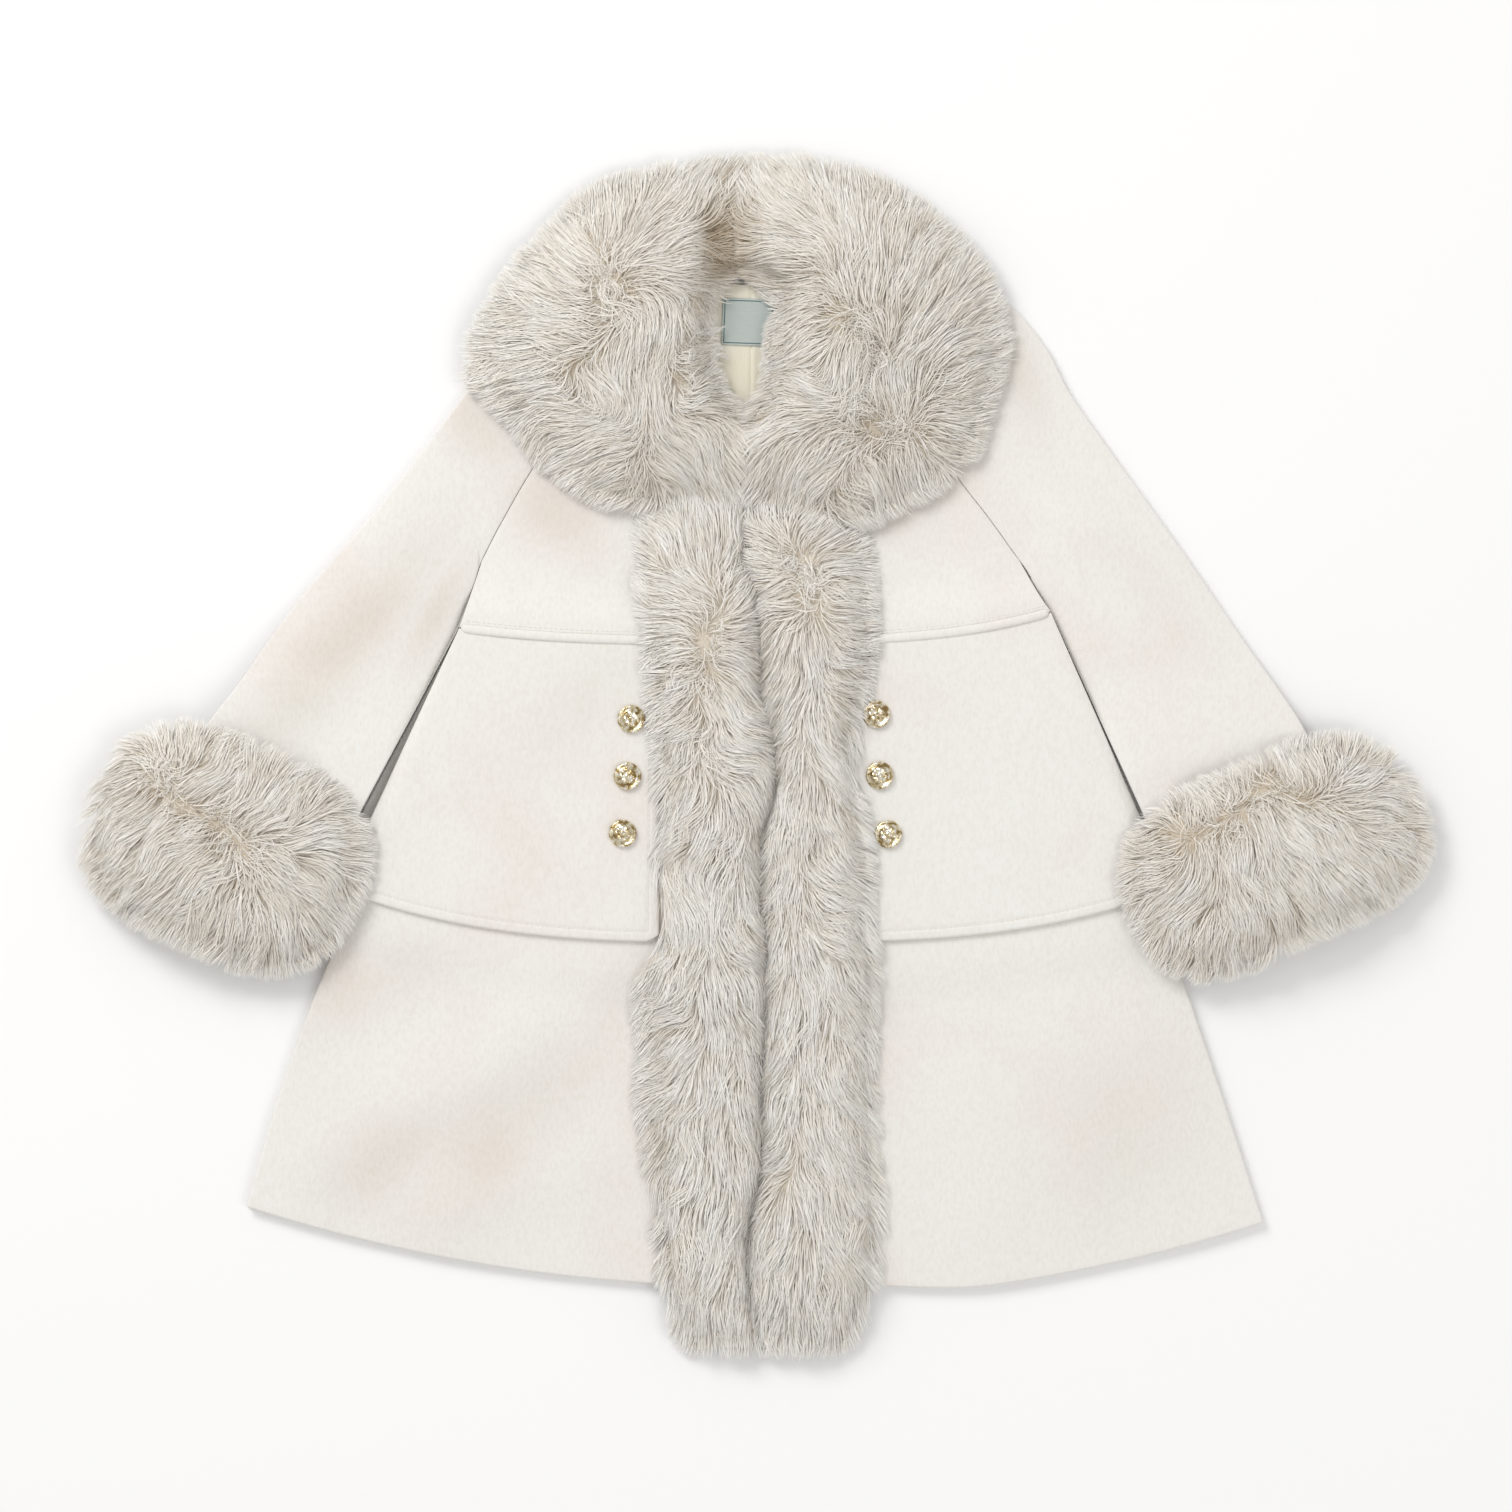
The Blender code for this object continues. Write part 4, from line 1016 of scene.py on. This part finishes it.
BAND_COLUMNS = ("y", "left", "right", "parting")
BANDS = np.array(
    [
        (163, 66, 58, -6), (152, 73, 72, -7), (128, 73, 75, -8), (104, 72, 73, 1), (70, 69, 76, 3),
        (40, 66, 69, 3), (12, 63, 62, 12), (-20, 61, 67, 14), (-56, 60, 72, 4), (-92, 60, 73, 4),
        (-122, 60, 72, 8), (-130, 75, 77, 7), (-157, 74, 77, 6), (-195, 70, 76, 5), (-228, 73, 76, 5),
        (-265, 66, 77, 4), (-300, 63, 80, -4), (-330, 60, 78, -5), (-352, 56, 70, -3),
        (-366, 51, 66, 2), (-374, 43, 58, 4), (-379, 31, 48, 5),
    ],
    float,
)
BAND_HEIGHT, BAND_REACH, BAND_COLUMN, BAND_TUCKED_BELOW = 24.0, 11.0, 12.0, -36.0


def front_top_z(x, y):
    """The top of the cloth that a front band lies on."""
    side_edge = np.where(x < 0, TIER_FRONT_EDGE["left"], TIER_FRONT_EDGE["right"])
    tucked = (x < 0) & (y < BAND_TUCKED_BELOW)
    over_tier = (np.abs(x) > side_edge - BAND_COLUMN) & ~tucked
    tier = np.where(over_tier, 3, 2) * LAYER + WALL
    fold = fold_height(x, y, SKIRT_FOLDS) * smooth((tier_hem_y(x) - y - CLEAR) / FALL)
    skirt = (skirt_back_z(x, y) + LAYER + fold + WALL) * falling(hem_y(x) - y + WAIST_CLEAR)
    return np.where(y > waist_y(x), bodice_front_z(x, y) + WALL, np.where(y > tier_hem_y(x), tier, skirt))


def collar_edge_y(side, x):
    """The lowest that the collar's fur comes near this distance from the middle."""
    angle = np.arange(180, 110, -3.0)
    px, py = collar_point(side, angle, column(COLLAR, COLLAR_COLUMNS, side, angle) + 2)
    return np.min([np.interp(np.abs(x) + near, np.abs(px), py) for near in (-6, -3, 0, 3, 6)], axis=0)


def band_skin(side):
    sign = SIDES[side]

    def place(s, t):
        level = mix(BANDS[0, 0] - 3, BANDS[-1, 0] + 7, t)
        tucked = (side == "left") * smooth((BAND_TUCKED_BELOW - 4 - level) / 8) * smooth((level + 124) / 8)
        outer = column(BANDS, BAND_COLUMNS, side, level) - 7 + 5.5 * tucked
        inner = column(BANDS, BAND_COLUMNS, "parting", level) + sign * 1.0
        x = mix(inner, sign * outer, s)
        tuck = np.maximum(0, BANDS[0, 0] + 1 - collar_edge_y(side, x)) * (1 - smooth(t * 50 / 8))
        y = level - tuck
        reach = (-BAND_REACH, -BAND_REACH / 2, 0, BAND_REACH / 2, BAND_REACH)
        base = np.max([front_top_z(x, y + dy) for dy in reach], axis=0) + LAY
        end = np.sin(np.pi * np.minimum(1, 0.12 + np.minimum(t, 1 - t) * 10) / 2) ** 0.7
        crown = (1 - np.abs(2 * s - 1) ** 2.6) ** 0.55
        return x, y, base, base + (1.5 + (BAND_HEIGHT - SINK + 1) * crown) * end

    return place


BAND_COMBING = {
    "left": [
        (-35, 159, 95), (-64, 148, 150), (-20, 152, 85), (-13, 137, 80), (-42, 127, 115),
        (-64, 106, 165), (-35, 100, 140), (-60, 86, 178), (-60, 64, 195), (-57, 42, 205),
        (-54, 20, 215), (-53, -9, 235), (-13, 107, 55), (-10, 79, 5), (-6, 57, -30), (-16, 35, -60),
        (2, 20, -35), (-10, -2, -15), (-4, -24, -60), (-20, -29, -85), (-45, -38, 235), (-28, -57, 225),
        (-4, -38, -60), (5, -57, -50), (-42, -90, -70), (-16, -98, -75), (-64, -133, 225),
        (-50, -119, -95), (-6, -133, -50), (-64, -163, 220), (-23, -163, -80), (-4, -163, -55),
        (-50, -182, 225), (-60, -200, 215), (-20, -207, -90), (-42, -229, 260), (-62, -220, 215),
        (-56, -244, 240), (-31, -244, -95), (-7, -250, -80), (-50, -293, -105), (-31, -305, -95),
        (-7, -299, -100), (-50, -342, -95), (-25, -360, -92),
    ],
    "right": [
        (5, 155, 105), (-1, 137, 165), (38, 150, 50), (60, 145, 25), (63, 123, 5), (60, 100, -10),
        (60, 79, -8), (58, 49, -12), (13, 98, 200), (13, 79, 240), (16, 49, 240), (35, 71, -80),
        (25, 35, 245), (16, 15, 215), (38, 20, -75), (58, 20, -50), (38, -17, -80), (60, -17, -60),
        (22, -24, -100), (24, -53, 248), (9, -89, 235), (53, -45, -45), (53, -67, -35), (60, -82, -25),
        (53, -98, -15), (31, -104, -85), (13, -133, -100), (53, -119, -50), (60, -141, -60),
        (38, -163, -88), (16, -178, -95), (60, -178, -65), (10, -207, 240), (38, -207, -88),
        (68, -214, -60), (18, -256, 220), (5, -281, 235), (36, -244, -75), (61, -244, -55),
        (36, -281, -75), (67, -281, -60), (18, -305, -110), (36, -318, -85), (67, -318, -70),
        (24, -354, -90), (61, -342, -75),
    ],
}


def band_reach(side):
    def reach(x, y):
        """Little at the parting, and less where the left band is tucked under the tier's edge."""
        outside = x * SIDES[side] > 35
        tucked = (side == "left") & outside & (y < BAND_TUCKED_BELOW) & (y > tier_hem_y(x) - 3)
        return np.where(tucked, 7.0, np.where(outside | (y < -340), 10.0, 4.0))

    return reach


for side in SIDES:
    # Painted light: the bands get a paler tone than the same fur of the collar.
    fur(
        f"fur_band_{side}_pile", f"fur_band_{side}", band_skin(side),
        (24, 130),
        combed(BAND_COMBING[side]), strands=22500, locks=520, length=27, seed=41,
        reach=band_reach(side), painted_light=0.07,
    )

# A wide fur cuff wraps each wrist. Its upper fur lies over the sleeve's end and beside the skirt, and its
# lower fur is pressed flat under the sleeve.

CUFF = {  # centre x, centre y, half across, half along, hollow at the wrist edge
    "left": (333.5, -61.5, 93.0, 66.0, 0.0),
    "right": (332.0, -66.0, 97.0, 61.0, 8.0),
}
CUFF_TILT = math.radians(24)
CUFF_SHORT = {"left": 9.0, "right": 0.0}  # how much less the pile stands out beside the coat
CUFF_UNDER, CUFF_PARTING, CUFF_HEIGHT, CUFF_WIDE_AT, SLEEVE_END_HALF = 8.0, 11.25, 27.0, 62.0, 53.0


def cuff_point(side, across, along):
    """From the cuff's own directions, across and along the sleeve, to the coat's."""
    x0, y0, half_across, half_along, hollow = CUFF[side]
    drawn = np.maximum(0.0, along / half_along) ** 2 * (1 - (across / half_across) ** 2)
    along = along - hollow * drawn
    cos, sin = math.cos(CUFF_TILT), math.sin(CUFF_TILT)
    return SIDES[side] * (x0 + across * cos + along * sin), y0 + across * sin - along * cos


def cuff_half(side, reach):
    return CUFF[side][2] * (1 - np.abs(reach) ** 3) ** (1 / 3)


def cuff_skin(side):
    def place(s, t):
        reach = mix(-0.96, 0.96, t)
        half = cuff_half(side, reach) - 7
        across = mix(-half + CUFF_SHORT[side], half, s)
        along = (CUFF[side][3] - 5) * reach
        x, y = cuff_point(side, across, along)
        over = CUFF_UNDER + 2 * LAYER + LAY
        beside = np.where(half > CUFF_WIDE_AT, CUFF_PARTING + SEAM, over)
        base = np.where(across > np.minimum(SLEEVE_END_HALF, half - 4), beside, over)
        end = (1 - np.abs(reach) ** 3) ** 0.5
        crown = (1 - np.abs(2 * s - 1) ** 2.8) ** 0.5
        return x, y, base + 0.0, base + 1.5 + (CUFF_HEIGHT - SINK) * crown * end

    return place


CUFF_COMBING = {
    "left": [
        (-393, 9, 160), (-373, 12, 100), (-412, -8, 190), (-393, -30, 225), (-419, -30, 215),
        (-386, -56, 240), (-419, -63, 235), (-347, 3, 60), (-354, -17, 35), (-321, -30, 60),
        (-288, -24, 45), (-360, -56, 220), (-354, -76, 210), (-386, -89, 225), (-367, -102, 230),
        (-334, -102, 242), (-321, -121, 255), (-308, -95, -65), (-308, -135, -85), (-288, -76, -20),
        (-282, -56, 0), (-262, -56, -15), (-269, -89, -55), (-282, -115, -70), (-269, -121, -65),
    ],
    "right": [
        (380, 4, 75), (346, -6, 110), (304, -17, 130), (401, -6, 20), (387, -24, 10), (408, -41, -15),
        (373, -54, -35), (415, -68, -45), (387, -75, -45), (346, -61, -45), (353, -89, -55),
        (325, -41, -55), (318, -61, -80), (318, -89, -70), (394, -89, -50), (283, -61, -100),
        (255, -61, 190), (242, -80, 205), (269, -82, 235), (255, -103, 235), (283, -110, -105),
        (276, -131, -110), (311, -114, -85), (339, -110, -70), (276, -41, 105), (242, -57, 170),
    ],
}


def cuff_under_skin(side):
    def place(s, t):
        reach = mix(-0.88, 0.88, t)
        outer = cuff_half(side, reach) - 6
        inner = SLEEVE_END_HALF - 2
        across = mix(-inner, outer, s)
        along = (CUFF[side][3] - 5) * reach
        x, y = cuff_point(side, across, along)
        wide = np.where(outer > CUFF_WIDE_AT, CUFF_PARTING, CUFF_UNDER)
        top = np.where(across > np.minimum(SLEEVE_END_HALF, outer - 4), wide - 1.5, CUFF_UNDER - 0.6)
        rim = np.minimum(np.minimum(s, 1 - s) * 16, np.minimum(t, 1 - t) * 16)
        swell = np.sqrt(np.clip(1 - (1 - np.clip(rim, 0, 1)) ** 2, 0, 1))
        return x, y, top / 2 * (1 - swell) + 0.2, top / 2 * (1 + swell)

    return place


for side in SIDES:
    flow = combed(CUFF_COMBING[side])
    fur(
        f"fur_cuff_{side}_pile", f"fur_cuff_{side}", cuff_skin(side),
        (44, 34),
        flow, strands=12500, locks=260, length=27, seed=61, reach=everywhere(10.0),
    )
    # Painted light: the pressed fur under the sleeve gets a paler tone.
    fur(
        f"fur_cuff_under_{side}_pile", f"fur_cuff_under_{side}", cuff_under_skin(side),
        (30, 26),
        flow, strands=2500, locks=70, length=10, seed=71, reach=everywhere(7.0), lift=1.0, painted_light=0.2,
    )

# Six gilt shank buttons, turned and stamped: a roped rim round a dome with a small flower.

BUTTONS = {
    "left": [(-79.0, 23.0), (-81.5, -13.5), (-84.5, -50.0)],
    "right": [(77.5, 26.0), (79.5, -13.0), (85.0, -50.5)],
}
BUTTON_RADIUS = 8.9
BUTTON_PROFILE = np.array(
    [
        (0.0, 5.0), (0.08, 5.1), (0.15, 4.9), (0.2, 4.3), (0.26, 4.0), (0.34, 4.2), (0.46, 4.1),
        (0.56, 3.5), (0.62, 3.0), (0.68, 2.6), (0.74, 2.5), (0.8, 3.1), (0.87, 3.5), (0.94, 3.2),
        (0.99, 2.3), (1.0, 1.5), (0.94, 0.6), (0.84, 0.0), (0.0, 0.0),
    ]
)


def gilt():
    """Polished gilt metal with fine dents, its colour mottled light and dark as painted reflections."""
    finish, nodes, links, shader = new_finish("gilt metal", 0.2)
    shader.inputs["Metallic"].default_value = 1.0
    cloud = noise(nodes, links, 330, 1)
    # Painted reflections: the colour swings from dark brass to near white across a soft noise.
    stops = [(0.36, "a0875a"), (0.46, "d6c59d"), (0.56, "efe4c8"), (0.66, "fdf9ee")]
    links.new(ramp(nodes, links, cloud, stops), shader.inputs["Base Color"])
    bump(nodes, links, shader, [(noise(nodes, links, 1500, 2), 0.00008)])
    return finish


def button(name, x0, y0, finish):
    """A profile turned round an axis. The rim's height follows a slanted wave, the flower's a petal."""
    turn = np.linspace(0, math.tau, 97)[:-1][None, :]
    radius, height = (BUTTON_PROFILE[:, k][:, None] for k in (0, 1))
    rope = np.exp(-(((radius - 0.87) / 0.07) ** 2)) * np.sin(26 * turn + 40 * radius) * 0.28
    petal = np.exp(-(((radius - 0.38) / 0.13) ** 2)) * np.cos(8 * turn) * 0.4
    top = height > 1.9
    z = 3 * LAYER + WALL + SEAM + height + np.where(top, rope + petal, 0)
    x, y = x0 + BUTTON_RADIUS * radius * np.cos(turn), y0 + BUTTON_RADIUS * radius * np.sin(turn)
    ring = np.stack([x, y, z + 0 * x], axis=-1)[1:-1]
    index = np.arange(ring.shape[0] * ring.shape[1]).reshape(ring.shape[:2])
    around = np.concatenate([index, index[:, :1]], axis=1)
    crown = np.stack([np.full(index.shape[1], index.size), around[0, :-1], around[0, 1:]], axis=-1)
    back = np.stack([around[-1, 1:], around[-1, :-1], np.full(index.shape[1], index.size + 1)], axis=-1)
    poles = np.array([[x0, y0, z[0].mean()], [x0, y0, z[-1].mean()]])
    points = np.concatenate([ring.reshape(-1, 3), poles])
    groups = [quads_of(around.T), np.concatenate([crown, back])]
    return put_mesh(name, points, groups, finish, "gold_metal")


gold = gilt()
for side, centres in BUTTONS.items():
    for number, (x, y) in enumerate(centres, 1):
        piece = button(f"gilt_button_{side}_{number}", x, y, gold)
        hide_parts(f"button_{side}_{number}")

# The coat lies on a plain pale floor under soft studio light, and the camera looks straight down.

floor_mesh = bpy.data.meshes.new("floor")
floor_mesh.from_pydata([(-6, -6, 0), (6, -6, 0), (6, 6, 0), (-6, 6, 0)], [], [(0, 1, 2, 3)])
floor = bpy.data.objects.new("floor", floor_mesh)
floor.location.z = -0.0005
bpy.context.scene.collection.objects.link(floor)
paper, nodes, links, shader = new_finish("white paper", 0.95)
shader.inputs["Base Color"].default_value = (0.98, 0.98, 0.98, 1)
shader.inputs["Specular IOR Level"].default_value = 0.0
floor_mesh.materials.append(paper)

world = bpy.data.worlds.new("studio")
world.use_nodes = True
sky = world.node_tree.nodes["Background"]
sky.inputs["Color"].default_value = (1.0, 0.99, 0.975, 1)
sky.inputs["Strength"].default_value = 0.62
bpy.context.scene.world = world


def softbox(name, place, aim, size, power):
    lamp = bpy.data.lights.new(name, "AREA")
    lamp.shape = "RECTANGLE"
    lamp.size, lamp.size_y = size
    lamp.energy = power
    made = bpy.data.objects.new(name, lamp)
    made.location = place
    away = [p - a for p, a in zip(place, aim)]
    flat = math.hypot(away[0], away[1])
    made.rotation_euler = (math.atan2(flat, away[2]), 0, math.atan2(away[0], -away[1]) if flat > 1e-6 else 0)
    bpy.context.scene.collection.objects.link(made)


softbox("key", (-1.8, 2.3, 2.4), (0, 0, 0), (1.6, 1.6), 66)
softbox("fill", (1.8, -1.4, 2.8), (0, 0, 0), (2.0, 2.0), 20)

DISTANCE, VIEW_WIDTH, SENSOR = 6.0, 0.96768, 36.0
lens = bpy.data.cameras.new("camera")
lens.sensor_width = SENSOR
lens.lens = SENSOR * DISTANCE / VIEW_WIDTH
camera = bpy.data.objects.new("camera", lens)
camera.location = (0.00064, -0.00134, DISTANCE)
bpy.context.scene.collection.objects.link(camera)
bpy.context.scene.camera = camera
bpy.context.scene.view_settings.view_transform = "Standard"
bpy.context.scene.cycles.diffuse_bounces = 3
bpy.context.scene.cycles.max_bounces = 6
